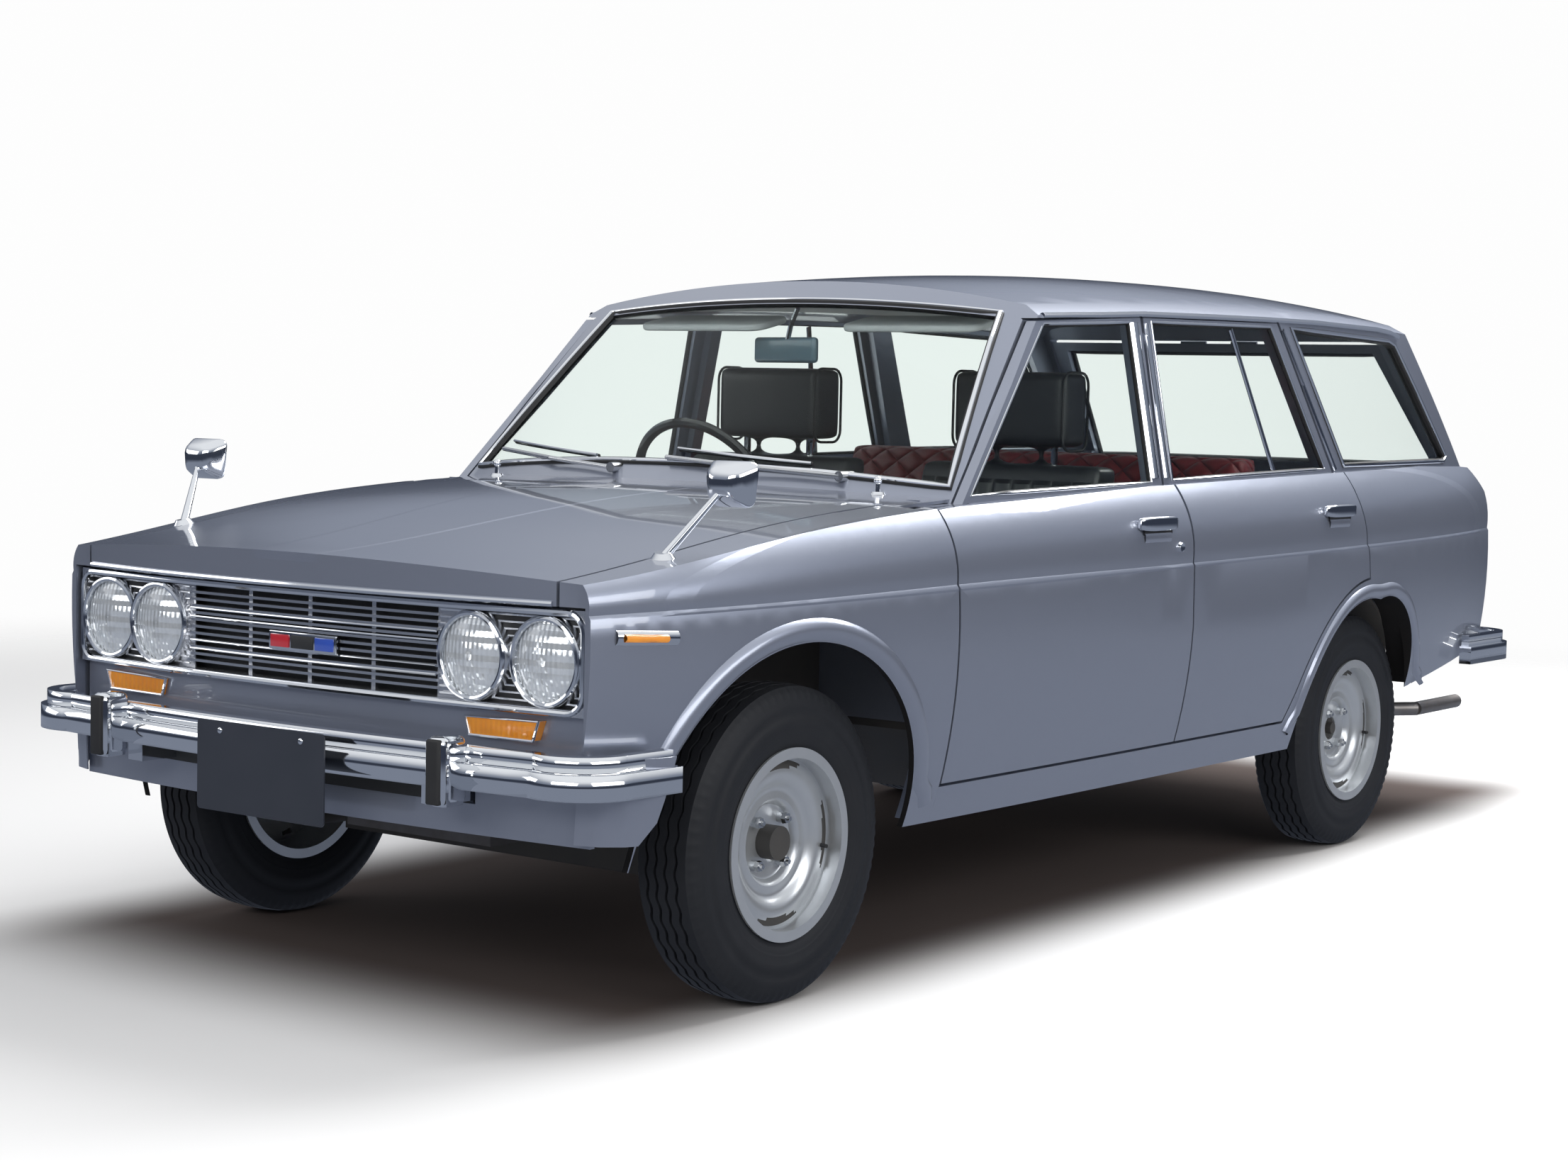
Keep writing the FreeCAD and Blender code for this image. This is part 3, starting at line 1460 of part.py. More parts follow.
def screen_point(x, z, ahead_of):
    """A point in front of the windscreen's outer face."""
    share = (z - up(screen_base_share)) / (up(screen_top_share) - up(screen_base_share))
    edge_rise = station(screen_top_y_share) - station(screen_base_y_share)
    edge_y = station(screen_base_y_share) + share * edge_rise
    bow = screen_base_bow + share * (screen_top_bow - screen_base_bow)
    return vec(x, edge_y - bow * (1 - (x / screen_edge) ** 2) - ahead_of, z)


wiper_pivots = [430, -130]
wiper_reach = 430
wiper_radius = 5
wiper_stand_off = 22
pivot_z = 958
wiper_rise = 26
pivot_radius = 11
wipers = []
for x in wiper_pivots:
    foot = screen_point(x, pivot_z, -wiper_stand_off)
    pivot = screen_point(x, pivot_z, wiper_stand_off)
    tip = screen_point(x - wiper_reach, pivot_z + wiper_rise, wiper_stand_off)
    middle = screen_point(x - wiper_reach / 2, pivot_z + wiper_rise / 2, wiper_stand_off + wiper_radius)
    spindle = rod(foot, pivot.sub(vec(0, wiper_radius, 0)), pivot_radius)
    wiper = rod(pivot, middle, wiper_radius).fuse([rod(middle, tip, wiper_radius), spindle])
    wipers.append(largest(wiper.cut([cowl_panel, windshield])))
wipers = flat(wipers)

export("seat_front_left", seat_front)
export("seat_front_right", mirrored(seat_front))
export("seat_rear", seat_rear)
export("dashboard", dashboard)
export("steering_wheel", steering_wheel)
export("engine_block", engine_block)
export("crossmember", crossmember)
export_pair("knuckle", knuckle)
export("rear_axle", rear_axle)
export("exhaust", exhaust)
export("fuel_tank", fuel_tank)
export("fender_mirrors", fender_mirrors)
export("wipers", wipers)
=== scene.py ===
import json
import math

import bmesh
import bpy
from mathutils import Matrix, Vector
from mathutils.bvhtree import BVHTree


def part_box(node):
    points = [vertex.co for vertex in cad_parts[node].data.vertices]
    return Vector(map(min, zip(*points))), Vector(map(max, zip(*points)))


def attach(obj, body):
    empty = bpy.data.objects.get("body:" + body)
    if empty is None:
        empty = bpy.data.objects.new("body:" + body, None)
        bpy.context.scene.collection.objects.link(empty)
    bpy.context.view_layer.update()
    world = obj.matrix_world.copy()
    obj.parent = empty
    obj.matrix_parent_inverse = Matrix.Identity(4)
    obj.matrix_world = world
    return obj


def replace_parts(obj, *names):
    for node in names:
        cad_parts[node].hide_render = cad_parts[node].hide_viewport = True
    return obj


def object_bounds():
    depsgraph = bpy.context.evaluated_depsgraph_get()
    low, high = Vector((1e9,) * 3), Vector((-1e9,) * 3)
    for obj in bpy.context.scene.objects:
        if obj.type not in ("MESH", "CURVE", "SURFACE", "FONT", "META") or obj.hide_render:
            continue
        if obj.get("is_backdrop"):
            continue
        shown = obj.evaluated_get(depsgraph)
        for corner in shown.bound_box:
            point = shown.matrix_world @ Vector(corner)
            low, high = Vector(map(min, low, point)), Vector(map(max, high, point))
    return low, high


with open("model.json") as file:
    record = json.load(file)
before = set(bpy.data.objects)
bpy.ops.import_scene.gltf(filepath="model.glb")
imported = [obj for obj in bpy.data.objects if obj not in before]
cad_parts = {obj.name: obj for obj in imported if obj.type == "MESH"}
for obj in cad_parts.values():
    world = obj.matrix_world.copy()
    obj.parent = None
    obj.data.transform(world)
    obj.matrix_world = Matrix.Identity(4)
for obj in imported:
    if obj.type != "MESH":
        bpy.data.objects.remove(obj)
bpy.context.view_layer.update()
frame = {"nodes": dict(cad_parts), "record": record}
scene = bpy.context.scene

# The camera stands off the car's front left corner, a little above the headlamps,
# with a long lens, as in the photograph.
lens = bpy.data.cameras.new("photo_view")
lens.lens = 61.55
lens.sensor_width = 36
lens.clip_end = 100
eye = bpy.data.objects.new("photo_view", lens)
scene.collection.objects.link(eye)
turn, dip, roll = math.radians(36.54), math.radians(4.16), math.radians(1.3)
ahead = Vector((-math.sin(turn) * math.cos(dip), math.cos(turn) * math.cos(dip), -math.sin(dip)))
level = Vector((math.cos(turn), math.sin(turn), 0))
above = level.cross(ahead)
across = math.cos(roll) * level + math.sin(roll) * above
upright = math.cos(roll) * above - math.sin(roll) * level
stand = Matrix((across, upright, -ahead)).transposed().to_4x4()
stand.translation = Vector((3.595, -5.340, 1.125))
eye.matrix_world = stand
scene.camera = eye

# The studio: a pale paper floor that fades into a white backdrop, with a painted shadow,
# dark brown, on it where the car stands, and softboxes overhead, beside the car, in front and
# far off. Reflections see a darker room with a pale ceiling and a dark band at eye height.
class Shade:
    """A socket in a material's tree: arithmetic on it adds Math nodes."""

    def __init__(self, tree, socket=None):
        self.tree = tree
        self.socket = socket

    def add(self, kind, settings, values, output=0):
        """One node from its type, its settings and the values or links of its sockets."""
        node = self.tree.nodes.new(kind)
        for name, value in settings.items():
            setattr(node, name, value)
        for name, value in values.items():
            if isinstance(value, Shade):
                self.tree.links.new(value.socket, node.inputs[name])
            else:
                node.inputs[name].default_value = value
        return Shade(self.tree, node.outputs[output])

    def math(self, operation, first, second=0.0):
        return self.add("ShaderNodeMath", {"operation": operation}, {0: first, 1: second})

    def __add__(self, other):
        return self.math("ADD", self, other)

    def __sub__(self, other):
        return self.math("SUBTRACT", self, other)

    def __rsub__(self, other):
        return self.math("SUBTRACT", other, self)

    def __mul__(self, other):
        return self.math("MULTIPLY", self, other)

    def __truediv__(self, other):
        return self.math("DIVIDE", self, other)

    def __abs__(self):
        return self.math("ABSOLUTE", self)

    def held(self):
        """The value kept between 0 and 1."""
        return self.add("ShaderNodeClamp", {}, {"Value": self})

    def fold(self):
        """How far the value is from the middle of its whole step: 0.5 at each seam."""
        return abs(self.math("FRACT", self) - 0.5)

    def eased(self, low, high, start, end):
        """A smooth step from start to end while the value goes from low to high."""
        return self.add("ShaderNodeMapRange", {"interpolation_type": "SMOOTHSTEP"},
                        {"Value": self, "From Min": low, "From Max": high, "To Min": start, "To Max": end},
                        "Result")

    def blend(self, first, second):
        """A colour that goes from the first to the second with the value."""
        return self.add("ShaderNodeMix", {"data_type": "RGBA"}, {"Factor": self, 6: first, 7: second}, 2)

    def parts(self):
        """The three parts of a vector."""
        split = self.add("ShaderNodeSeparateXYZ", {}, {"Vector": self})
        return [Shade(self.tree, socket) for socket in split.socket.node.outputs]

    __radd__ = __add__
    __rmul__ = __mul__


floor_mesh = bpy.data.meshes.new("studio_floor")
shape = bmesh.new()
bmesh.ops.create_circle(shape, cap_ends=True, segments=96, radius=9.0)
shape.to_mesh(floor_mesh)
shape.free()
studio_floor = bpy.data.objects.new("studio_floor", floor_mesh)
scene.collection.objects.link(studio_floor)
studio_floor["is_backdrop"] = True
studio_floor.visible_glossy = False
floor_paper_painted_shadow = bpy.data.materials.new("floor_paper_painted_shadow")
floor_paper_painted_shadow.use_nodes = True
paper = floor_paper_painted_shadow.node_tree.nodes["Principled BSDF"]
paper.inputs["Roughness"].default_value = 0.9
paper.inputs["Specular IOR Level"].default_value = 0.1
floor_mesh.materials.append(floor_paper_painted_shadow)
floor_root = Shade(floor_paper_painted_shadow.node_tree)
floor_place = floor_root.add("ShaderNodeTexCoord", {}, {}, "Object")
from_middle = floor_root.add("ShaderNodeVectorMath", {"operation": "LENGTH"}, {0: floor_place}, "Value")
fade = from_middle.eased(3.6, 7.5, 1.0, 0.0)
floor_x, floor_y = floor_place.parts()[:2]
# The shadow under the car is painted on the paper: a dark brown patch with soft edges over the car's footprint.
painted_shadow = floor_root.math("ADD", 1.0, 0.0)
for distance, half, soft in [(floor_x + 0.10, 0.80, 0.18), (floor_y - 0.24, 2.17, 0.30)]:
    painted_shadow = painted_shadow * abs(distance).eased(half - soft, half + soft, 1.0, 0.0)
paper_with_painted_shadow = painted_shadow.blend((0.90, 0.895, 0.89, 1), (0.100, 0.080, 0.074, 1))
floor_paper_painted_shadow.node_tree.links.new(paper_with_painted_shadow.socket, paper.inputs["Base Color"])
floor_paper_painted_shadow.node_tree.links.new(fade.socket, paper.inputs["Alpha"])
softboxes = [
    ("softbox_top", (1.0, 3.0, 4.6), (0.6, 1.6, 0), (2.6, 5.0), 400),
    ("softbox_side", (5.6, -1.2, 2.6), (0, 0.2, 0.7), (6.5, 1.8), 150),
    ("softbox_front", (1.2, -7.2, 3.0), (0, -1.5, 0.7), (5.0, 1.6), 140),
    ("softbox_far", (-5.5, -4.2, 2.6), (0, 0, 0.7), (4.0, 1.6), 40),
]
for name, place, target, size, power in softboxes:
    lamp = bpy.data.lights.new(name, "AREA")
    lamp.shape = "RECTANGLE"
    lamp.size, lamp.size_y = size
    lamp.energy = power
    softbox = bpy.data.objects.new(name, lamp)
    scene.collection.objects.link(softbox)
    softbox.location = place
    softbox.rotation_euler = (Vector(target) - Vector(place)).to_track_quat("-Z", "Y").to_euler()
studio = bpy.data.worlds.new("studio")
scene.world = studio
studio.use_nodes = True
links = studio.node_tree.links
surround = studio.node_tree.nodes["Background"]
surround.inputs["Color"].default_value = (0.80, 0.81, 0.83, 1)
surround.inputs["Strength"].default_value = 0.52
room = Shade(studio.node_tree)
gaze = room.add("ShaderNodeTexCoord", {}, {}, "Generated")
upward = gaze.parts()[2]
room_tone = upward.eased(0.22, 0.75, 0.0, 1.0).blend((0.23, 0.26, 0.33, 1), (0.95, 0.97, 1.00, 1))
eye_level = abs(upward - 0.03).eased(0.07, 0.20, 0.92, 0.0)
room_tone = eye_level.blend(room_tone, (0.020, 0.026, 0.045, 1))
mirrored_room = room.add("ShaderNodeBackground", {}, {"Color": room_tone})
backdrop = room.add("ShaderNodeBackground", {}, {"Color": (0.985, 0.985, 0.985, 1)})
path = room.add("ShaderNodeLightPath", {}, {}, "Ray Depth")
through_glass = Shade(studio.node_tree, path.socket.node.outputs["Transmission Depth"])
camera, pane_ray, glossy = (Shade(studio.node_tree, path.socket.node.outputs["Is %s Ray" % kind])
                            for kind in ("Camera", "Transmission", "Glossy"))
bounced = (path - through_glass - 1.0).held()
seen = camera.math("MAXIMUM", camera, pane_ray * (1.0 - bounced))
unlit = room.add("ShaderNodeMixShader", {}, {"Fac": glossy, 1: Shade(studio.node_tree, surround.outputs[0]),
                                             2: mirrored_room})
chosen = room.add("ShaderNodeMixShader", {}, {"Fac": seen, 1: unlit, 2: backdrop})
links.new(chosen.socket, studio.node_tree.nodes["World Output"].inputs["Surface"])
scene.view_settings.view_transform = "Standard"


# Body panels: pressed steel in silver blue-grey metallic enamel under clear lacquer. A
# fine flake and a slight orange peel show close up, and one pressed line runs the length
# of each side. Each panel is its own welded mesh, smooth within its sharp edges.
def finish(name, colour, worn, rough, spread, patch, grain, grain_size, fixed, relief=None, depth=0.001):
    """A material: two tones and a roughness that drift over patches, a fine grain, and a
    relief in metres."""
    made = bpy.data.materials.new(name)
    made.use_nodes = True
    tree = made.node_tree
    shader = tree.nodes["Principled BSDF"]
    for socket, value in fixed.items():
        shader.inputs[socket].default_value = value
    root = Shade(tree)
    place = root.add("ShaderNodeTexCoord", {}, {}, "Object")
    drift = root.add("ShaderNodeTexNoise", {}, {"Vector": place, "Scale": 1 / patch, "Detail": 3.0})
    tone = drift.blend((*colour, 1), (*worn, 1))
    tree.links.new(tone.socket, shader.inputs["Base Color"])
    tree.links.new((drift * spread + (rough - spread / 2)).socket, shader.inputs["Roughness"])
    speck = root.add("ShaderNodeTexNoise", {}, {"Vector": place, "Scale": 1 / grain_size, "Detail": 2.0})
    normal = root.add("ShaderNodeBump", {}, {"Height": speck, "Distance": grain, "Strength": 1.0})
    if relief:
        height = relief(*place.parts())
        normal = root.add("ShaderNodeBump", {}, {"Height": height, "Distance": depth, "Strength": 1.0,
                                                 "Normal": normal})
    tree.links.new(normal.socket, shader.inputs["Normal"])
    return made


def side_line(x, y, z):
    """A step at the pressed line that climbs slowly to the rear, only on the flanks."""
    above_line = ((z - (y * 0.012 + 0.761)) / 0.004 + 0.5).held()
    return above_line * ((abs(x) - 0.70) / 0.01).held()


def hood_folds(x, y, z):
    """Two folds that spread to the rear, with the metal between them raised."""
    inside = ((y + 1.945) * 0.113 + 0.086 - abs(x)) / 0.012
    return (inside + 0.5).held() * ((z - 0.804) / 0.05).held()


paint_fixed = {"Metallic": 0.72, "Coat Weight": 1.0, "Coat Roughness": 0.03, "Specular IOR Level": 0.5}
paint = finish("silver_enamel", (0.270, 0.294, 0.362), (0.282, 0.307, 0.376), 0.34, 0.03, 0.6,
               0.00001, 0.0012, paint_fixed, side_line, 0.0026)
hood_paint = finish("hood_enamel", (0.270, 0.294, 0.362), (0.282, 0.307, 0.376), 0.34, 0.03, 0.6,
                    0.00001, 0.0012, paint_fixed, hood_folds, 0.004)
body_of = {node: body for body, nodes in frame["record"]["behaviour"]["bodies"].items() for node in nodes}


def piece(name, shape, material, body):
    """An object from a mesh under construction, smooth within its sharp edges, riding on a body."""
    for face in shape.faces:
        face.smooth = True
    for edge in shape.edges:
        if len(edge.link_faces) == 2 and edge.calc_face_angle(0) > math.radians(32):
            edge.smooth = False
    mesh = bpy.data.meshes.new(name)
    shape.to_mesh(mesh)
    shape.free()
    mesh.materials.append(material)
    made = bpy.data.objects.new(name, mesh)
    scene.collection.objects.link(made)
    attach(made, body)
    return made


def whole(node):
    """A CAD node's mesh with its doubled points merged, to work on."""
    shape = bmesh.new()
    shape.from_mesh(frame["nodes"][node].data)
    bmesh.ops.remove_doubles(shape, verts=shape.verts, dist=0.00002)
    return shape


def dressed(node, material):
    """The CAD node shown as a welded smooth mesh with a material."""
    made = piece(node + "_skin", whole(node), material, body_of[node])
    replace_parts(made, node)
    return made


# Faces inside the wheel arches get a near-black finish, darker than the paint.
arch_inner_dark = finish("arch_inner_dark", (0.006, 0.006, 0.007), (0.011, 0.010, 0.010), 0.80, 0.1, 0.08,
                   0.0003, 0.004, {"Specular IOR Level": 0.15})
axle_y, rear_axle_y, axle_z = -1.405, 1.015, 0.297
no_arch_y = 9
arch_reach, arch_top = 0.46, 0.73
sides = [("left", 1), ("right", -1)]
for node in ["roof_panel", "cowl_panel", "tailgate", "rear_panel", "front_panel"]:
    dressed(node, paint)
for stem, wheel_y in [("door_front_", no_arch_y), ("door_rear_", no_arch_y), ("side_frame_", rear_axle_y),
                      ("fender_", axle_y)]:
    for side, sign in sides:
        panel = dressed(stem + side, paint)
        panel.data.materials.append(arch_inner_dark)
        for face in panel.data.polygons:
            spot, turned = face.center, face.normal
            reach = math.hypot(spot.y - wheel_y, spot.z - axle_z)
            facing = (turned.y * (wheel_y - spot.y) + turned.z * (axle_z - spot.z)) / reach
            lining = turned.x * sign < 0.3 if stem == "fender_" else facing > 0.5
            if reach < arch_reach and spot.z < arch_top and lining:
                face.material_index = 1
dressed("hood", hood_paint)

# Glass: toughened panes with a faint green tint, bent to the body's curve. The screens
# and quarter lights are held in rubber, and the door glass slides in lined channels.
glass = finish("window_glass", (0.90, 0.95, 0.93), (0.92, 0.96, 0.94), 0.01, 0.004, 1.0,
               0.0000001, 0.05, {"Transmission Weight": 1.0, "IOR": 1.12, "Specular IOR Level": 0.9})
for node in ["windshield", "tailgate_glass", "quarter_glass", "glass_front_left", "glass_front_right",
             "glass_rear_left", "glass_rear_right"]:
    dressed(node, glass)

# Window seals and mouldings: a black rubber bead round each pane, with a polished
# stainless strip let into it.
rubber = finish("black_rubber", (0.012, 0.012, 0.013), (0.020, 0.020, 0.021), 0.55, 0.1, 0.05,
                0.00006, 0.002, {"Specular IOR Level": 0.4})
chrome = finish("chrome_plate", (0.80, 0.81, 0.83), (0.74, 0.76, 0.78), 0.07, 0.04, 0.08,
                0.000004, 0.02, {"Metallic": 1.0})


def outline(node, toward):
    """The closed edges of a pane's face on one side: points, each with its outward direction."""
    shape = whole(node)
    shape.normal_update()
    outer = set(face for face in shape.faces if face.normal.dot(toward) > 0.5)
    rim = [edge for edge in shape.edges if sum(face in outer for face in edge.link_faces) == 1]
    loops = []
    while rim:
        edge = rim.pop(0)
        start, here = edge.verts
        run = [start]
        while here is not start:
            run.append(here)
            edge = next((e for e in here.link_edges if e in rim), None)
            if edge is None:
                break
            rim.remove(edge)
            here = edge.other_vert(here)
        marks = []
        for vert in run:
            out = sum((face.normal for face in vert.link_faces if face in outer), Vector())
            spot = vert.co.copy()
            if not marks or (spot - marks[-1][0]).length > 0.004:
                marks.append((spot, out.normalized()))
        if (marks[0][0] - marks[-1][0]).length < 0.004:
            marks.pop()
        loops.append(marks)
    shape.free()
    return loops


def bead(name, points, radius, closed, material, body):
    """A round strip along points."""
    line = bpy.data.curves.new(name, "CURVE")
    line.dimensions = "3D"
    line.bevel_depth = radius
    line.bevel_resolution = 2
    line.use_fill_caps = True
    spline = line.splines.new("POLY")
    spline.points.add(len(points) - 1)
    for point, spot in zip(spline.points, points):
        point.co = (*spot, 1)
    spline.use_cyclic_u = closed
    drawn = bpy.data.objects.new(name + "_line", line)
    shape = bmesh.new()
    shape.from_mesh(bpy.data.meshes.new_from_object(drawn))
    bpy.data.objects.remove(drawn)
    bmesh.ops.remove_doubles(shape, verts=shape.verts, dist=0.00001)
    return piece(name, shape, material, body)


panes = [
    ("windshield", Vector((0, -0.7, 0.7)), 0.011, 0.0055),
    ("tailgate_glass", Vector((0, 0.9, 0.4)), 0.010, 0.0050),
    ("glass_front_left", Vector((1, 0, 0)), 0.007, 0.0040),
    ("glass_front_right", Vector((-1, 0, 0)), 0.007, 0.0040),
    ("glass_rear_left", Vector((1, 0, 0)), 0.007, 0.0040),
    ("glass_rear_right", Vector((-1, 0, 0)), 0.007, 0.0040),
    ("quarter_glass", Vector((1, 0, 0)), 0.010, 0.0055),
    ("quarter_glass", Vector((-1, 0, 0)), 0.010, 0.0055),
]
for number, (node, toward, seal, strip_size) in enumerate(panes):
    for loop in outline(node, toward):
        sealed = [spot + out * 0.002 for spot, out in loop]
        bead("seal_%02d" % number, sealed, seal, True, rubber, body_of[node])
        shown = [spot + out * (seal * 0.85) for spot, out in loop]
        bead("moulding_%02d" % number, shown, strip_size, True, chrome, body_of[node])

# Pillar covers, drip rails, arch flares, the rear doors' divider bars and the valance's
# corners: thin pressed strips, clipped or welded to the body's skin. Covers, rails and
# bars are polished stainless, flares and corners are painted.
def skin(nodes):
    """The outer skin of CAD nodes, for finding where a line of sight meets it."""
    shape = bmesh.new()
    for node in nodes:
        shape.from_mesh(frame["nodes"][node].data)
    tree = BVHTree.FromBMesh(shape)
    shape.free()
    return tree


def touch(tree, side, y, z, fallback):
    """How far out the skin is at a height and a distance along the car."""
    hit = tree.ray_cast(Vector((side * 2, y, z)), Vector((-side, 0, 0)))[0]
    return abs(hit.x) if hit else fallback


def faced(shape, toward):
    """Faces made to agree, and turned so that they look toward a direction."""
    bmesh.ops.recalc_face_normals(shape, faces=shape.faces)
    if sum(face.normal.dot(toward) for face in shape.faces) < 0:
        bmesh.ops.reverse_faces(shape, faces=shape.faces)


def strip(name, tree, side, line, wide, proud, material, body):
    """A crowned strip laid on the skin along side-view points (y, z), its edges sunk a little."""
    shape = bmesh.new()
    last = len(line) - 1
    bmesh.ops.create_grid(shape, x_segments=last, y_segments=6, size=1)
    reach = 0.7
    for vert in sorted(shape.verts, key=lambda v: abs(v.co.y)):
        index = round((vert.co.x + 1) / 2 * last)
        share = vert.co.y
        y, z = line[index]
        y0, z0 = line[max(index - 1, 0)]
        y1, z1 = line[min(index + 1, last)]
        run = math.hypot(y1 - y0, z1 - z0)
        at_y = y - (z1 - z0) / run * share * wide / 2
        at_z = z + (y1 - y0) / run * share * wide / 2
        out = touch(tree, side, at_y, at_z, reach)
        out = touch(tree, side, y, z, out) if abs(out - reach) > 0.05 and share else out
        reach = out
        rise = proud * (1 - share * share) ** 0.5 - 0.0012 * abs(share)
        vert.co = Vector((side * (out + rise), at_y, at_z))
    faced(shape, Vector((side, 0, 0)))
    return piece(name, shape, material, body)


def along(points, step=0.03):
    """Points about a step apart along straight runs."""
    dense = []
    for (y0, z0), (y1, z1) in zip(points, points[1:]):
        count = max(1, round(math.hypot(y1 - y0, z1 - z0) / step))
        dense += [(y0 + (y1 - y0) * k / count, z0 + (z1 - z0) * k / count) for k in range(count)]
    return dense + [points[-1]]


lip_start, lip_step, lip_steps = 0.340, 0.0005, 220
arch_turns = 56
for side, sign in sides:
    flank = skin(["door_front_" + side, "door_rear_" + side, "side_frame_" + side, "fender_" + side])
    for name, foot, head, wide, proud, body in [
            ("pillar_cover_front_", (-0.038, 0.955), (-0.042, 1.300), 0.036, 0.005, "door_front_" + side),
            ("pillar_cover_rear_", (0.014, 0.955), (0.008, 1.300), 0.030, 0.005, "door_rear_" + side),
            ("pillar_cover_back_", (0.905, 0.965), (0.700, 1.306), 0.020, 0.004, "body")]:
        strip(name + side, flank, sign, along([foot, head]), wide, proud, chrome, body)
    rail = [(0.624, -0.440, 1.301), (0.624, -0.330, 1.306), (0.624, -0.200, 1.311), (0.625, 0.000, 1.320),
            (0.625, 0.300, 1.325), (0.623, 0.600, 1.329), (0.616, 0.900, 1.331), (0.605, 1.200, 1.328),
            (0.600, 1.300, 1.327), (0.595, 1.400, 1.321), (0.594, 1.450, 1.312)]
    bead("drip_rail_" + side, [Vector((sign * (x + 0.004), y, z)) for x, y, z in rail], 0.0065, False, chrome,
         "body")
    for flare, panel, wheel_y, wide, proud in [("front_flare_", "fender_", axle_y, 0.044, 0.011),
                                               ("rear_flare_", "side_frame_", rear_axle_y, 0.036, 0.009)]:
        wing = skin([panel + side])
        lip = []
        for step in range(arch_turns + 1):
            angle = math.radians(-10 + 200 * step / arch_turns)
            aim = Vector((0, math.cos(angle), math.sin(angle)))
            for grade in range(lip_steps):
                radius = lip_start + lip_step * grade
                spot = Vector((sign * 2, wheel_y, axle_z)) + aim * radius
                hit = wing.ray_cast(spot, Vector((-sign, 0, 0)))[0]
                if hit and hit.x * sign > 0.66 and hit.z > 0.33:
                    lip.append((angle, radius))
                    break
        edge = []
        for k in range(len(lip)):
            near = [radius for turned, radius in lip[max(k - 1, 0):k + 2]]
            angle, radius = lip[k][0], sum(near) / len(near) + wide / 2 + 0.001
            edge.append((wheel_y + math.cos(angle) * radius, axle_z + math.sin(angle) * radius))
        strip(flare + side, wing, sign, edge, wide, proud, paint, "body")
    pane = skin(["glass_rear_" + side])
    strip("divider_bar_" + side, pane, sign, along([(0.560, 0.962), (0.432, 1.300)]), 0.018, 0.006, chrome,
          "door_rear_" + side)
    shape = bmesh.new()
    bmesh.ops.create_grid(shape, x_segments=16, y_segments=4, size=1)
    corner = [(0.646, -1.930), (0.690, -1.916), (0.722, -1.885), (0.742, -1.835), (0.749, -1.795)]
    for vert in shape.verts:
        lift = (vert.co.y + 1) / 2
        share = (vert.co.x + 1) / 2 * (len(corner) - 1) * (0.62 + 0.38 * lift ** 0.6)
        index = min(int(share), len(corner) - 2)
        (x0, y0), (x1, y1) = corner[index], corner[index + 1]
        x, y = x0 + (x1 - x0) * (share - index), y0 + (y1 - y0) * (share - index)
        vert.co = Vector((sign * (x - 0.010 * (1 - lift)), y, 0.352 + 0.150 * lift))
    faced(shape, Vector((sign, 0, 0)))
    bmesh.ops.solidify(shape, geom=shape.faces[:], thickness=0.003)
    piece("valance_corner_" + side, shape, paint, "body")

# Door handles: chromed pull handles of cast zinc, each screwed on over a cup pressed in
# the door's skin, with a black strip of painted shade under it and a key lock below the front one.
def rounded(shape, edges, offset, segments, clamped=False):
    """Edges rounded off."""
    bmesh.ops.bevel(shape, geom=edges, offset=offset, offset_type="OFFSET", segments=segments, profile=0.5,
                    affect="EDGES", material=-1, clamp_overlap=clamped)


for side, sign in sides:
    for stem, middle, height in [("door_front_", -0.170, 0.860), ("door_rear_", 0.752, 0.868)]:
        flank = skin([stem + side])
        body = stem + side
        low_run = along([(middle - 0.058, height - 0.026), (middle + 0.058, height - 0.026)], 0.008)
        strip("handle_cup_" + body, flank, sign, low_run, 0.034, 0.0040, paint, body)
        # Under each handle a black strip is painted shade, where the handle's shadow falls.
        shade_run = along([(middle - 0.062, height - 0.014), (middle + 0.062, height - 0.014)], 0.008)
        strip("handle_painted_shade_" + body, flank, sign, shade_run, 0.024, 0.0052, rubber, body)
        out = touch(flank, sign, middle, height, 0.77)
        shape = bmesh.new()
        bmesh.ops.create_cube(shape, size=1)
        bmesh.ops.scale(shape, vec=(0.014, 0.160, 0.031), verts=shape.verts)
        lengthwise = [e for e in shape.edges if abs((e.verts[0].co - e.verts[1].co).y) > 0.1]
        bmesh.ops.subdivide_edges(shape, edges=lengthwise, cuts=9, use_grid_fill=True)
        for vert in shape.verts:
            vert.co.x -= 0.007 * (vert.co.y / 0.080) ** 4
            vert.co.z *= 1 - 0.20 * (vert.co.y / 0.080) ** 4
        rounded(shape, [e for e in shape.edges if e.calc_face_angle(0) > 0.6], 0.0045, 3)
        bmesh.ops.transform(shape, matrix=Matrix.Translation((out + 0.015, middle, height)), verts=shape.verts)
        if sign < 0:
            bmesh.ops.scale(shape, vec=(-1, 1, 1), verts=shape.verts)
            bmesh.ops.recalc_face_normals(shape, faces=shape.faces)
        piece("handle_" + body, shape, chrome, body)
    flank = skin(["door_front_" + side])
    out = touch(flank, sign, -0.070, 0.805, 0.77)
    shape = bmesh.new()
    bmesh.ops.create_cone(shape, cap_ends=True, segments=24, radius1=0.012, radius2=0.010, depth=0.008)
    top = [face for face in shape.faces if face.normal.z > 0.9]
    bmesh.ops.inset_region(shape, faces=top, thickness=0.003, depth=-0.001)
    outward = Matrix.Rotation(sign * math.pi / 2, 4, "Y")
    place = Matrix.Translation((sign * (out + 0.002), -0.070, 0.805)) @ outward
    bmesh.ops.transform(shape, matrix=place, verts=shape.verts)
    piece("door_lock_" + side, shape, chrome, "door_front_" + side)

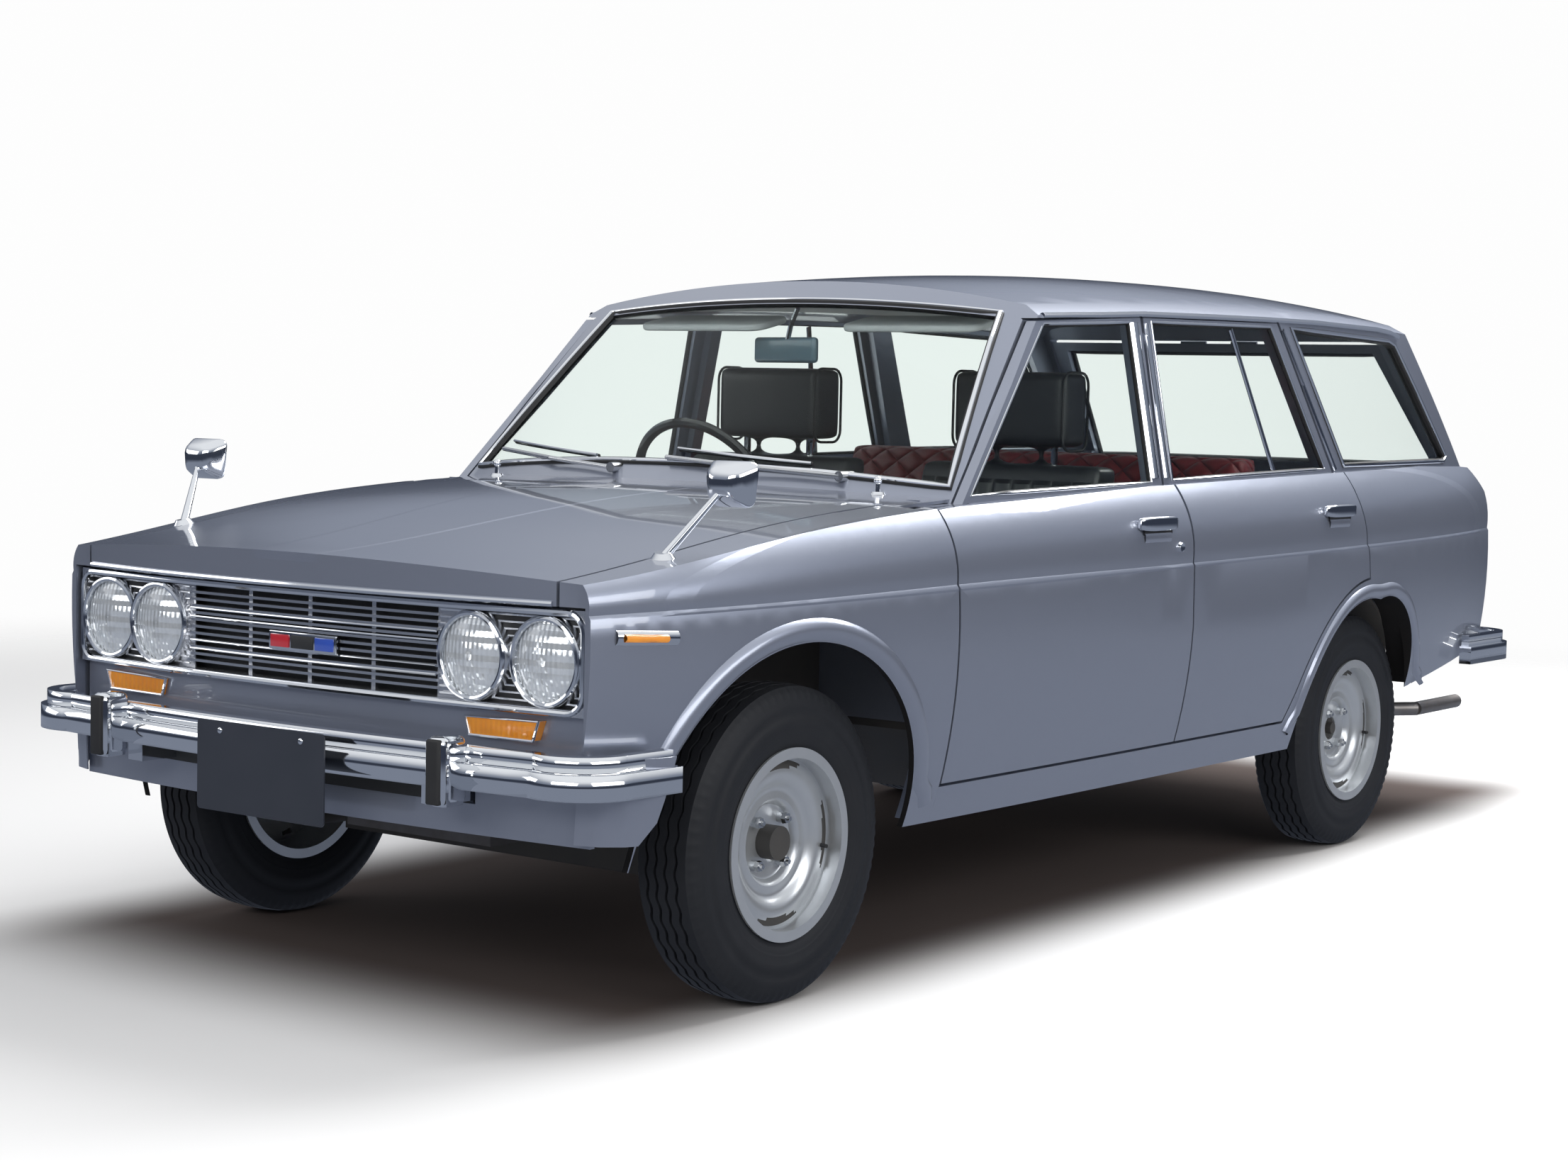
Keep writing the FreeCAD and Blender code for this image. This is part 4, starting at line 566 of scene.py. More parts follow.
# Grille: a frame with its bars, die cast and chromed, screwed to the front panel before a
# dark backing. Fine ribs cross the lamp panels, a bright moulding is clipped round it and
# along the hood's lip, and a plain coloured badge sits on the middle bar.
dark_panel = finish("dark_panel", (0.015, 0.016, 0.018), (0.025, 0.026, 0.028), 0.5, 0.1, 0.1,
                    0.00002, 0.003, {"Specular IOR Level": 0.4})
face_middle, face_bow, face_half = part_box("grille")[0].y + 0.016, 0.039, 0.655


def face_y(x):
    """Where the grille's bowed face lies at a distance from the middle."""
    return face_middle + face_bow * (x / face_half) ** 2


bright_metal = finish("bright_metal", (0.84, 0.85, 0.87), (0.78, 0.79, 0.81), 0.24, 0.06, 0.05,
                      0.00001, 0.002, {"Metallic": 1.0})
dressed("grille", bright_metal)
shape = bmesh.new()
bmesh.ops.create_grid(shape, x_segments=24, y_segments=1, size=1)
for vert in shape.verts:
    x, up = vert.co.x * 0.652, vert.co.y
    vert.co = Vector((x, face_y(x) + (0.0065 if abs(x) > 0.326 else 0.034), 0.660 + up * 0.085))
faced(shape, Vector((0, -1, 0)))
piece("grille_backing", shape, dark_panel, "body")
for row in range(13):
    height = 0.588 + row * 0.0122
    for number, sign in enumerate((-1, 1)):
        points = [Vector((sign * x, face_y(x) + 0.003, height)) for x in (0.327, 0.40, 0.48, 0.56, 0.642)]
        bead("lamp_panel_rib_%02d" % (2 * row + number), points, 0.0023, False, bright_metal, "body")
for number, height in enumerate((0.618, 0.634, 0.679, 0.695)):
    points = [Vector((x, face_y(x) - 0.001, height)) for x in [k * 0.04 - 0.32 for k in range(17)]]
    bead("grille_fine_bar_%d" % number, points, 0.0022, False, chrome, "body")
surround_loop = []
for turned in range(4):
    for k in range(7):
        angle = math.radians(90 * turned + 15 * k)
        x = (0.616 if turned in (0, 3) else -0.616) + 0.034 * math.cos(angle)
        z = (0.712 if turned < 2 else 0.608) + 0.034 * math.sin(angle)
        surround_loop.append((x, z))
dense = []
for (x0, z0), (x1, z1) in zip(surround_loop, surround_loop[1:] + surround_loop[:1]):
    count = max(1, round(math.hypot(x1 - x0, z1 - z0) / 0.04))
    dense += [(x0 + (x1 - x0) * k / count, z0 + (z1 - z0) * k / count) for k in range(count)]
surround = [Vector((x, face_y(x) - 0.0165, z)) for x, z in dense]
bead("grille_surround", surround, 0.0062, True, chrome, "body")
hood_skin, lip = skin(["hood"]), []
for k in range(31):
    x = -0.598 + 1.196 * k / 30
    hit = hood_skin.ray_cast(Vector((x, -3, 0.765)), Vector((0, 1, 0)))[0]
    if hit:
        lip.append(hit + Vector((0, -0.0015, -0.0035)))
bead("hood_lip_moulding", lip, 0.0052, False, chrome, "hood")
# The apron's air slot is not cut: a dark strip laid on the skin is its painted shade.
apron, shape = skin(["front_panel"]), bmesh.new()
bmesh.ops.create_grid(shape, x_segments=24, y_segments=2, size=1)
for vert in shape.verts:
    x, z = vert.co.x * 0.40, 0.412 + vert.co.y * 0.014
    hit = apron.ray_cast(Vector((x, -3, z)), Vector((0, 1, 0)))[0]
    vert.co = (hit or Vector((x, face_y(x) + 0.002, z))) + Vector((0, -0.0008, 0))
faced(shape, Vector((0, -1, 0)))
piece("apron_slot_painted_shade", shape, dark_panel, "body")
badge_red = finish("badge_red", (0.45, 0.02, 0.03), (0.40, 0.02, 0.03), 0.2, 0.05, 0.02,
                   0.00001, 0.002, {"Coat Weight": 1.0})
badge_blue = finish("badge_blue", (0.03, 0.08, 0.42), (0.03, 0.07, 0.36), 0.2, 0.05, 0.02,
                    0.00001, 0.002, {"Coat Weight": 1.0})


def block(size, round_off, segments):
    """A block with its edges rounded off."""
    shape = bmesh.new()
    bmesh.ops.create_cube(shape, size=1)
    bmesh.ops.scale(shape, vec=size, verts=shape.verts)
    rounded(shape, shape.edges[:], round_off, segments)
    return shape


for name, x, wide, tall, deep, material, slot in [
        ("badge_frame", 0, 0.175, 0.034, 0.0060, chrome, "chrome"),
        ("badge_red_block", -0.058, 0.048, 0.024, 0.0085, badge_red, "red_lens"),
        ("badge_middle", 0, 0.058, 0.024, 0.0080, dark_panel, "black_steel"),
        ("badge_blue_block", 0.058, 0.048, 0.024, 0.0085, badge_blue, "red_lens")]:
    shape = block((wide, deep, tall), 0.0016, 2)
    bmesh.ops.translate(shape, vec=(x, face_y(x) - 0.002 - deep / 2, 0.652), verts=shape.verts)
    piece(name, shape, material, "body")

# Headlamps: four sealed beams, fluted glass fused to a bright bowl, each screwed into its
# bezel by a chromed ring.
def lamp_flutes(x, y, z):
    """Upright flutes, crossed by shallower bands."""
    return (x / 0.0105).fold() + 0.7 * (z / 0.021).fold()


lamp_glass = finish("fluted_lamp_glass", (0.82, 0.85, 0.87), (0.62, 0.66, 0.70), 0.10, 0.06, 0.03,
                    0.00002, 0.004, {"Metallic": 0.55, "Coat Weight": 1.0, "Coat Roughness": 0.02},
                    lamp_flutes, 0.0035)
dressed("headlamps", lamp_glass)
for side, sign in sides:
    for stem, x in [("outer", 0.566), ("inner", 0.408)]:
        ring = [Vector((sign * x + 0.0745 * math.cos(a), face_y(x) - 0.0115, 0.659 + 0.0745 * math.sin(a)))
                for a in [2 * math.pi * k / 64 for k in range(64)]]
        bead("lamp_rim_%s_%s" % (stem, side), ring, 0.0055, True, chrome, "body")

# Turn signals and tail lamps: moulded acrylic lenses with fine flutes inside, each in a
# thin chrome rim. A small amber side lamp sits on each fender.
amber = finish("amber_acrylic", (0.80, 0.30, 0.02), (0.62, 0.20, 0.01), 0.12, 0.05, 0.03, 0.00002, 0.004,
               {"Coat Weight": 1.0, "Subsurface Weight": 0.2}, lambda x, y, z: (x / 0.012).fold(), 0.002)
red = finish("red_acrylic", (0.42, 0.012, 0.012), (0.30, 0.008, 0.008), 0.12, 0.05, 0.03, 0.00002, 0.004,
             {"Coat Weight": 1.0, "Subsurface Weight": 0.2}, lambda x, y, z: (z / 0.010).fold(), 0.002)
dressed("turn_signals", amber)
dressed("tail_lamps", red)
for node, toward in [("turn_signals", Vector((0, -1, 0))), ("tail_lamps", Vector((0, 1, 0)))]:
    for number, loop in enumerate(outline(node, toward)):
        bead("%s_rim_%d" % (node, number), [spot for spot, out in loop], 0.0032, True, chrome, "body")
for side, sign in sides:
    flank = skin(["fender_" + side])
    strip("side_lamp_base_" + side, flank, sign, along([(-1.886, 0.706), (-1.748, 0.699)], 0.012), 0.027, 0.006,
          chrome, "body")
    strip("side_lamp_lens_" + side, flank, sign, along([(-1.872, 0.705), (-1.776, 0.700)], 0.012), 0.018, 0.011,
          amber, "body")

# Bumpers: two-tier chromed steel, with overriders faced in black rubber at the front and
# a plain board for a number plate between them.
def bar_crown(x, y, z):
    """Two tiers, each rounded from its lower to its upper edge."""
    lower, upper = abs((z - 0.461) / 0.024), abs((z - 0.498) / 0.015)
    return (1 - lower * lower).held() + (1 - upper * upper).held() * 0.6


bar_chrome = finish("bar_chrome", (0.80, 0.81, 0.83), (0.74, 0.76, 0.78), 0.07, 0.04, 0.08, 0.000004, 0.02,
                    {"Metallic": 1.0}, bar_crown, 0.011)
dressed("bumper_front", bar_chrome)
dressed("bumper_rear", bar_chrome)
for side, sign in sides:
    x = sign * 0.4386
    for name, wide, deep, tall, front, material, slot in [
            ("overrider_", 0.052, 0.060, 0.122, -2.066, chrome, "chrome"),
            ("overrider_pad_", 0.030, 0.012, 0.112, -2.072, rubber, "black_steel")]:
        shape = block((wide, deep, tall), min(wide, deep) * 0.3, 4)
        bmesh.ops.translate(shape, vec=(x, front + deep / 2, 0.470), verts=shape.verts)
        piece(name + side, shape, material, "body")
board_paint = finish("board_enamel", (0.020, 0.024, 0.034), (0.026, 0.030, 0.042), 0.42, 0.08, 0.1,
                     0.00001, 0.003, {"Specular IOR Level": 0.5})
board_size = (0.330, 0.003, 0.165)
shape = bmesh.new()
bmesh.ops.create_cube(shape, size=1)
bmesh.ops.scale(shape, vec=board_size, verts=shape.verts)
rounded(shape, [e for e in shape.edges if abs((e.verts[0].co - e.verts[1].co).y) > 0.001], 0.008, 4)
bmesh.ops.translate(shape, vec=(0.010, -2.0665, 0.427), verts=shape.verts)
piece("plate_board", shape, board_paint, "body")
for number, x in enumerate((-0.095, 0.115)):
    shape = bmesh.new()
    bmesh.ops.create_uvsphere(shape, u_segments=16, v_segments=8, radius=0.006)
    bmesh.ops.scale(shape, vec=(1, 0.5, 1), verts=shape.verts)
    bmesh.ops.translate(shape, vec=(x, -2.068, 0.492), verts=shape.verts)
    piece("plate_screw_%d" % number, shape, chrome, "body")

# Rear fittings: a plain board for a number plate on the tailgate, under a chromed lamp
# housing, and a chromed handle with a push button.
for name, place, size, round_off, material, slot in [
        ("rear_board", (0, 1.9890, 0.640), board_size, 0.0010, board_paint, "black_steel"),
        ("rear_board_lamp", (0, 1.9960, 0.745), (0.120, 0.024, 0.026), 0.0060, chrome, "chrome"),
        ("rear_handle_plate", (0, 1.9890, 0.815), (0.150, 0.005, 0.036), 0.0020, chrome, "chrome"),
        ("rear_handle", (-0.012, 2.0020, 0.815), (0.112, 0.014, 0.020), 0.0050, chrome, "chrome")]:
    shape = block(size, round_off, 3)
    bmesh.ops.translate(shape, vec=place, verts=shape.verts)
    piece(name, shape, material, "tailgate")
shape = bmesh.new()
bmesh.ops.create_cone(shape, cap_ends=True, segments=24, radius1=0.011, radius2=0.009, depth=0.018)
push = Matrix.Translation((0.060, 1.9980, 0.815)) @ Matrix.Rotation(-math.pi / 2, 4, "X")
bmesh.ops.transform(shape, matrix=push, verts=shape.verts)
piece("rear_handle_button", shape, chrome, "tailgate")

# Mirrors, wipers and cowl knobs: chromed castings, and brushed steel arms with rubber
# blades, screwed to the fenders and the cowl.
wiper_steel = finish("wiper_steel", (0.62, 0.63, 0.64), (0.50, 0.51, 0.52), 0.25, 0.1, 0.03,
                     0.00002, 0.001, {"Metallic": 1.0})
dressed("wipers", wiper_steel)
cowl_skin = skin(["cowl_panel", "fender_left", "fender_right"])
shape = bmesh.new()
for side, sign in sides:
    head = bmesh.ops.create_cube(shape, size=1.0)["verts"]
    for vert in head:
        wide, tall = (0.5, 0.52) if vert.co.y < 0 else (1.0 if vert.co.z > 0 else 0.84, 1.0)
        vert.co = Vector((vert.co.x * 0.124 * wide, vert.co.y * 0.050, vert.co.z * 0.094 * tall))
    bmesh.ops.translate(shape, vec=Vector((sign * 0.690, -1.594, 0.962)), verts=head)
rounded(shape, shape.edges[:], 0.017, 4, True)
for side, sign in sides:
    foot, upright = cowl_skin.ray_cast(Vector((sign * 0.628, -1.695, 2)), Vector((0, 0, -1)))[:2]
    stem = Vector((sign * 0.688, -1.604, 0.955)) - foot
    for radius, narrow, tall, spot, turned in [(0.023, 0.015, 0.012, foot + upright * 0.004, upright),
                                               (0.0085, 0.0050, stem.length, foot + stem / 2, stem)]:
        leaning = Matrix.Translation(spot) @ turned.to_track_quat("Z", "Y").to_matrix().to_4x4()
        bmesh.ops.create_cone(shape, cap_ends=True, segments=28, radius1=radius, radius2=narrow, depth=tall,
                              matrix=leaning)
bmesh.ops.recalc_face_normals(shape, faces=shape.faces[:])
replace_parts(piece("fender_mirrors_cast", shape, chrome, "body"), "fender_mirrors")
pane_skin = skin(["windshield"])
blade_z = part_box("wipers")[1].z - 0.031
for number, pivot_x in enumerate((0.430, -0.130)):
    pressed, spine = [], []
    for step in range(12):
        x = pivot_x - 0.085 - 0.031 * step
        z = blade_z + 0.016 + 0.026 * (pivot_x - x) / 0.430
        hit = pane_skin.ray_cast(Vector((x, -3, z)), Vector((0, 1, 0)))[0]
        if hit:
            pressed.append(hit + Vector((0, -0.006, 0)))
            spine.append(hit + Vector((0, -0.013 - 0.004 * math.sin(math.pi * step / 11), 0.003)))
    if len(pressed) > 3:
        bead("wiper_blade_%d" % number, pressed, 0.0045, False, rubber, "body")
        bead("wiper_spine_%d" % number, spine, 0.0030, False, chrome, "body")
for number, x in enumerate((-0.52, 0.52)):
    drop = cowl_skin.ray_cast(Vector((x, -0.880, 2)), Vector((0, 0, -1)))[0]
    foot = drop if drop and drop.z > 0.8 else Vector((x, -0.880, 0.905))
    shape = bmesh.new()
    bmesh.ops.create_uvsphere(shape, u_segments=20, v_segments=10, radius=0.009)
    bmesh.ops.translate(shape, vec=foot + Vector((0, 0, 0.028)), verts=shape.verts)
    for radius, tall, lift in [(0.016, 0.006, 0.002), (0.006, 0.028, 0.014)]:
        raised = Matrix.Translation(foot + Vector((0, 0, lift)))
        bmesh.ops.create_cone(shape, cap_ends=True, segments=20, radius1=radius, radius2=radius * 0.8,
                              depth=tall, matrix=raised)
    piece("cowl_knob_%d" % number, shape, chrome, "body")

# Running gear: a cast iron engine on rubber mounts, floor, axle and tank in steel painted
# black and bolted or welded up, and a dull steel exhaust pipe hung from the floor.
cast_iron = finish("cast_iron", (0.16, 0.16, 0.17), (0.10, 0.09, 0.085), 0.65, 0.15, 0.05,
                   0.0003, 0.003, {"Metallic": 0.6})
black_steel = finish("black_steel", (0.030, 0.030, 0.031), (0.055, 0.050, 0.045), 0.6, 0.15, 0.1,
                     0.0001, 0.004, {"Specular IOR Level": 0.4})
exhaust_steel = finish("exhaust_steel", (0.34, 0.33, 0.32), (0.22, 0.19, 0.17), 0.42, 0.15, 0.08,
                       0.00008, 0.004, {"Metallic": 0.9})
for node in ["floor_pan", "crossmember", "knuckle_left", "knuckle_right", "rear_axle", "fuel_tank"]:
    dressed(node, black_steel)
dressed("engine_block", cast_iron)
dressed("exhaust", exhaust_steel)

# Wheels: pressed steel in silver, with four nuts and a hub cap, on bias-ply tyres with
# five zigzag ribs and ringed walls. The slots in the disc are painted black as painted shade.
# The front hubs have black grease caps.
rim_paint = finish("rim_silver", (0.56, 0.58, 0.60), (0.50, 0.52, 0.54), 0.30, 0.08, 0.05,
                   0.00003, 0.002, {"Metallic": 0.75, "Coat Weight": 0.3})
tyre_rubber = finish("tyre_rubber", (0.009, 0.010, 0.013), (0.014, 0.015, 0.018), 0.60, 0.12, 0.08,
                     0.00008, 0.002, {"Specular IOR Level": 0.25})
half_tread, steps = 0.0535, 240
groove_top, groove_foot, groove_deep = 0.0030, 0.0018, 0.007
grooves = [-0.033, -0.011, 0.011, 0.033]
zigzag, zigzag_steps = 0.0026, (1, 0.4, -0.6, -1, -0.4, 0.6)
wall = [(0.0560, 0.1700), (0.0610, 0.1740), (0.0650, 0.1860), (0.0676, 0.1900), (0.0690, 0.2000),
        (0.0702, 0.2035), (0.0712, 0.2060), (0.0712, 0.2180), (0.0722, 0.2200), (0.0722, 0.2350),
        (0.0710, 0.2370), (0.0702, 0.2500), (0.0708, 0.2520), (0.0690, 0.2620), (0.0660, 0.2700),
        (0.0640, 0.2790), (0.0590, 0.2860), (0.0565, 0.2885)]


def crown(x):
    """The tread's radius across its width."""
    return 0.2962 - 0.0042 * (x / half_tread) ** 2


tread = [(half_tread, crown(half_tread))]
for centre in reversed(grooves):
    top = crown(centre)
    tread += [(centre + groove_top, top), (centre + groove_foot, top - groove_deep),
              (centre - groove_foot, top - groove_deep), (centre - groove_top, top)]
tread += [(-half_tread, crown(half_tread))]
inside = [(-0.0520, 0.1740), (-0.0640, 0.2200), (-0.0560, 0.2660), (0.0560, 0.2660), (0.0640, 0.2200),
          (0.0520, 0.1740)]
profile = wall + tread + [(-x, r) for x, r in reversed(wall)] + inside
shape = bmesh.new()
ends = [shape.verts.new((x, 0, r)) for x, r in profile]
ring_edges = [shape.edges.new((a, b)) for a, b in zip(ends, ends[1:] + ends[:1])]
bmesh.ops.spin(shape, geom=ends + ring_edges, axis=(1, 0, 0), cent=(0, 0, 0), dvec=(0, 0, 0), angle=2 * math.pi,
               steps=steps, use_merge=True, use_duplicate=False)
bmesh.ops.remove_doubles(shape, verts=shape.verts, dist=0.00001)
for vert in shape.verts:
    radius = math.hypot(vert.co.y, vert.co.z)
    step = round(math.atan2(vert.co.z, vert.co.y) / (2 * math.pi) * steps)
    if radius > 0.285 and abs(vert.co.x) < 0.050:
        vert.co.x += zigzag * zigzag_steps[step % 6]
    if 0.2785 < radius < 0.2895 and 0.050 < abs(vert.co.x) and step % 3 == 0:
        vert.co.x *= 0.965
bmesh.ops.recalc_face_normals(shape, faces=shape.faces)
rises = [(0.0300, 0.001), (0.0660, 0.001), (0.0700, 0.003), (0.0740, 0.010), (0.0780, 0.015),
         (0.0820, 0.0170), (0.0870, 0.0165), (0.0930, 0.0150), (0.0990, 0.0150), (0.1030, 0.0165),
         (0.1080, 0.0210), (0.1150, 0.0268), (0.1230, 0.0300), (0.1310, 0.0305), (0.1380, 0.0300),
         (0.1440, 0.0285), (0.1500, 0.0275), (0.1540, 0.0270)]
tyre_mesh = bpy.data.meshes.new("tyre_pattern")
shape.to_mesh(tyre_mesh)
shape.free()
for place, wheel_y in [("front", axle_y), ("rear", rear_axle_y)]:
    for side, sign in sides:
        body = "wheel_%s_%s" % (place, side)
        low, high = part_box("tyre_%s_%s" % (place, side))
        middle = Vector(((low.x + high.x) / 2, wheel_y, axle_z))
        shape = bmesh.new()
        shape.from_mesh(tyre_mesh)
        bmesh.ops.translate(shape, vec=middle, verts=shape.verts)
        tyre = piece("tyre_%s_%s_tread" % (place, side), shape, tyre_rubber, body)
        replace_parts(tyre, "tyre_%s_%s" % (place, side))
        wheel = dressed("rim_%s_%s" % (place, side), rim_paint)
        wheel.data.materials.append(black_steel)
        disc = skin(["rim_%s_%s" % (place, side)])
        out = touch(disc, sign, wheel_y + 0.036, axle_z, abs(middle.x) + 0.010)
        for face in wheel.data.polygons:
            spot = face.center
            if math.hypot(spot.y - wheel_y, spot.z - axle_z) < 0.0335 and abs(spot.x) > out + 0.001:
                face.material_index = 1
        shape = bmesh.new()
        ends = [shape.verts.new((sign * (out + rise), 0, radius)) for radius, rise in rises]
        line = [shape.edges.new(pair) for pair in zip(ends, ends[1:])]
        bmesh.ops.spin(shape, geom=ends + line, axis=(1, 0, 0), cent=(0, 0, 0), dvec=(0, 0, 0),
                       angle=2 * math.pi, steps=144, use_merge=True, use_duplicate=False)
        bmesh.ops.remove_doubles(shape, verts=shape.verts, dist=0.00001)
        faced(shape, Vector((sign, 0, 0)))
        bmesh.ops.translate(shape, vec=(0, wheel_y, axle_z), verts=shape.verts)
        pressing = piece("rim_pressing_%s_%s" % (place, side), shape, rim_paint, body)
        pressing.data.materials.append(black_steel)
        # The disc's slots are not cut: their faces are painted black as painted shade.
        for face in pressing.data.polygons:
            y, z = face.center.y - wheel_y, face.center.z - axle_z
            turn = (math.degrees(math.atan2(z, y)) + 45) % 90
            edge = 0.1375 + 0.0135 * ((turn - 45) / 26) ** 2
            if math.hypot(y, z) > edge and abs(turn - 45) < 26:
                face.material_index = 1
        for count in range(4):
            angle = math.radians(45 + 90 * count)
            y, z = wheel_y + 0.057 * math.cos(angle), axle_z + 0.057 * math.sin(angle)
            shape = bmesh.new()
            for corners, foot, top, lift in [(6, 0.0118, 0.0100, 0.004), (16, 0.0055, 0.0045, 0.010)]:
                bmesh.ops.create_cone(shape, cap_ends=True, segments=corners, radius1=foot, radius2=top,
                                      depth=0.008, matrix=Matrix.Translation((0, 0, lift)))
            outward = Matrix.Rotation(sign * math.pi / 2, 4, "Y")
            turned = Matrix.Translation((sign * (out + 0.013), y, z)) @ outward
            bmesh.ops.transform(shape, matrix=turned, verts=shape.verts)
            piece("nut_%s_%s_%d" % (place, side, count), shape, wiper_steel, body)
        stem_points = [Vector((sign * (abs(middle.x) + 0.030), wheel_y + 0.138, axle_z - 0.02)),
                       Vector((sign * (abs(middle.x) + 0.055), wheel_y + 0.131, axle_z - 0.02))]
        bead("valve_%s_%s" % (place, side), stem_points, 0.004, False, rubber, body)
bpy.data.meshes.remove(tyre_mesh)

# Seats: foam under embossed vinyl, black and pleated in front, dark red and quilted
# behind. Each swells between its seams and rests on the floor and the seat rails. The
# head restraints have piped edges and stand on chromed posts.
def pleats(x, y, z):
    """Sewn channels across the width of a seat, below its head restraint."""
    place = (x / 0.052).fold() * 2
    return (1 - place * place * place) * ((0.94 - z) / 0.01).held()


def quilting(x, y, z):
    """Sewn diamonds."""
    one = ((x + y + z) / 0.085).fold() * 2
    two = ((x - y - z) / 0.085).fold() * 2
    return (1 - one * one * one * one) * (1 - two * two * two * two)


black_vinyl = finish("black_vinyl", (0.012, 0.013, 0.016), (0.020, 0.021, 0.024), 0.38, 0.12, 0.08,
                     0.00015, 0.0022, {"Specular IOR Level": 0.5}, pleats, 0.006)
red_vinyl = finish("red_vinyl", (0.180, 0.012, 0.016), (0.135, 0.009, 0.012), 0.42, 0.12, 0.08,
                   0.00015, 0.0022, {"Specular IOR Level": 0.5, "Sheen Weight": 0.15}, quilting, 0.008)


def padded(node, material, voxel, passes):
    """A foam-filled copy of a CAD seat: remeshed, its corners rounded off by smoothing."""
    shape = whole(node)
    rough_mesh = bpy.data.meshes.new(node + "_rough")
    shape.to_mesh(rough_mesh)
    shape.free()
    block = bpy.data.objects.new(node + "_rough", rough_mesh)
    scene.collection.objects.link(block)
    remesh = block.modifiers.new("remesh", "REMESH")
    remesh.mode = "VOXEL"
    remesh.voxel_size = voxel
    view_layer = bpy.context.evaluated_depsgraph_get()
    filled = bpy.data.meshes.new_from_object(block.evaluated_get(view_layer))
    bpy.data.objects.remove(block)
    shape = bmesh.new()
    shape.from_mesh(filled)
    for _ in range(passes):
        bmesh.ops.smooth_vert(shape, verts=shape.verts, factor=0.5, use_axis_x=True, use_axis_y=True,
                              use_axis_z=True)
    made = piece(node + "_pad", shape, material, body_of[node])
    for edge in made.data.edges:
        edge.use_edge_sharp = False
    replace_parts(made, node)
    return made


for side, sign in sides:
    padded("seat_front_" + side, black_vinyl, 0.010, 10)
    rest = [vert.co for vert in frame["nodes"]["seat_front_" + side].data.vertices if vert.co.z > 1.03]
    low_y, high_y = min(co.y for co in rest), max(co.y for co in rest)
    low_x, high_x = min(co.x for co in rest), max(co.x for co in rest)
    foot_z, top_z = 1.008, max(co.z for co in rest)
    for number, x in enumerate((low_x + 0.055, high_x - 0.055)):
        post = [Vector((x, (low_y + high_y) / 2, z)) for z in (0.945, 1.020)]
        bead("rest_post_%s_%d" % (side, number), post, 0.0085, False, chrome, "body")
    for number, x in enumerate((low_x + 0.004, high_x - 0.004)):
        round_off, piping = 0.030, []
        for turned, (y, z) in enumerate([(high_y, top_z), (low_y, top_z), (low_y, foot_z), (high_y, foot_z)]):
            inner_y = y + round_off * (1 if y == low_y else -1)
            inner_z = z + round_off * (1 if z == foot_z else -1)
            for k in range(6):
                angle = math.radians(90 * turned + 18 * k)
                piping.append(Vector((x, inner_y + round_off * math.cos(angle),
                                      inner_z + round_off * math.sin(angle))))
        bead("rest_piping_%s_%d" % (side, number), piping, 0.0032, True, rubber, "body")
padded("seat_rear", red_vinyl, 0.011, 12)

# Dashboard and steering wheel: moulded black plastic, with a padded grain on the dash
# and a polished rim on the wheel.
dash_plastic = finish("dash_plastic", (0.018, 0.018, 0.019), (0.026, 0.026, 0.027), 0.55, 0.1, 0.1,
                      0.00025, 0.003, {"Specular IOR Level": 0.4})
wheel_plastic = finish("wheel_plastic", (0.010, 0.010, 0.011), (0.015, 0.015, 0.016), 0.16, 0.06, 0.05,
                       0.00001, 0.002, {"Coat Weight": 0.6})
dressed("dashboard", dash_plastic)
dressed("steering_wheel", wheel_plastic)

# Door trims: hardboard covered in quilted dark red vinyl, clipped to the inside of each
# door below its window.
for side, sign in sides:
    for stem, y0, y1, z0, z1 in [("door_front_", -0.80, -0.06, 0.42, 0.895),
                                 ("door_rear_", 0.05, 0.50, 0.42, 0.905)]:
        body = stem + side
        inner = skin([body])
        shape = bmesh.new()
        bmesh.ops.create_grid(shape, x_segments=18, y_segments=12, size=1)
        for vert in shape.verts:
            y = (y0 + y1) / 2 + vert.co.x * (y1 - y0) / 2
            z = (z0 + z1) / 2 + vert.co.y * (z1 - z0) / 2
            hit = inner.ray_cast(Vector((sign * 0.30, y, z)), Vector((sign, 0, 0)))[0]
            vert.co = Vector(((hit.x if hit else sign * 0.690) - sign * 0.004, y, z))
        faced(shape, Vector((-sign, 0, 0)))
        bmesh.ops.solidify(shape, geom=shape.faces[:], thickness=-0.003)
        piece("trim_" + body, shape, red_vinyl, body)

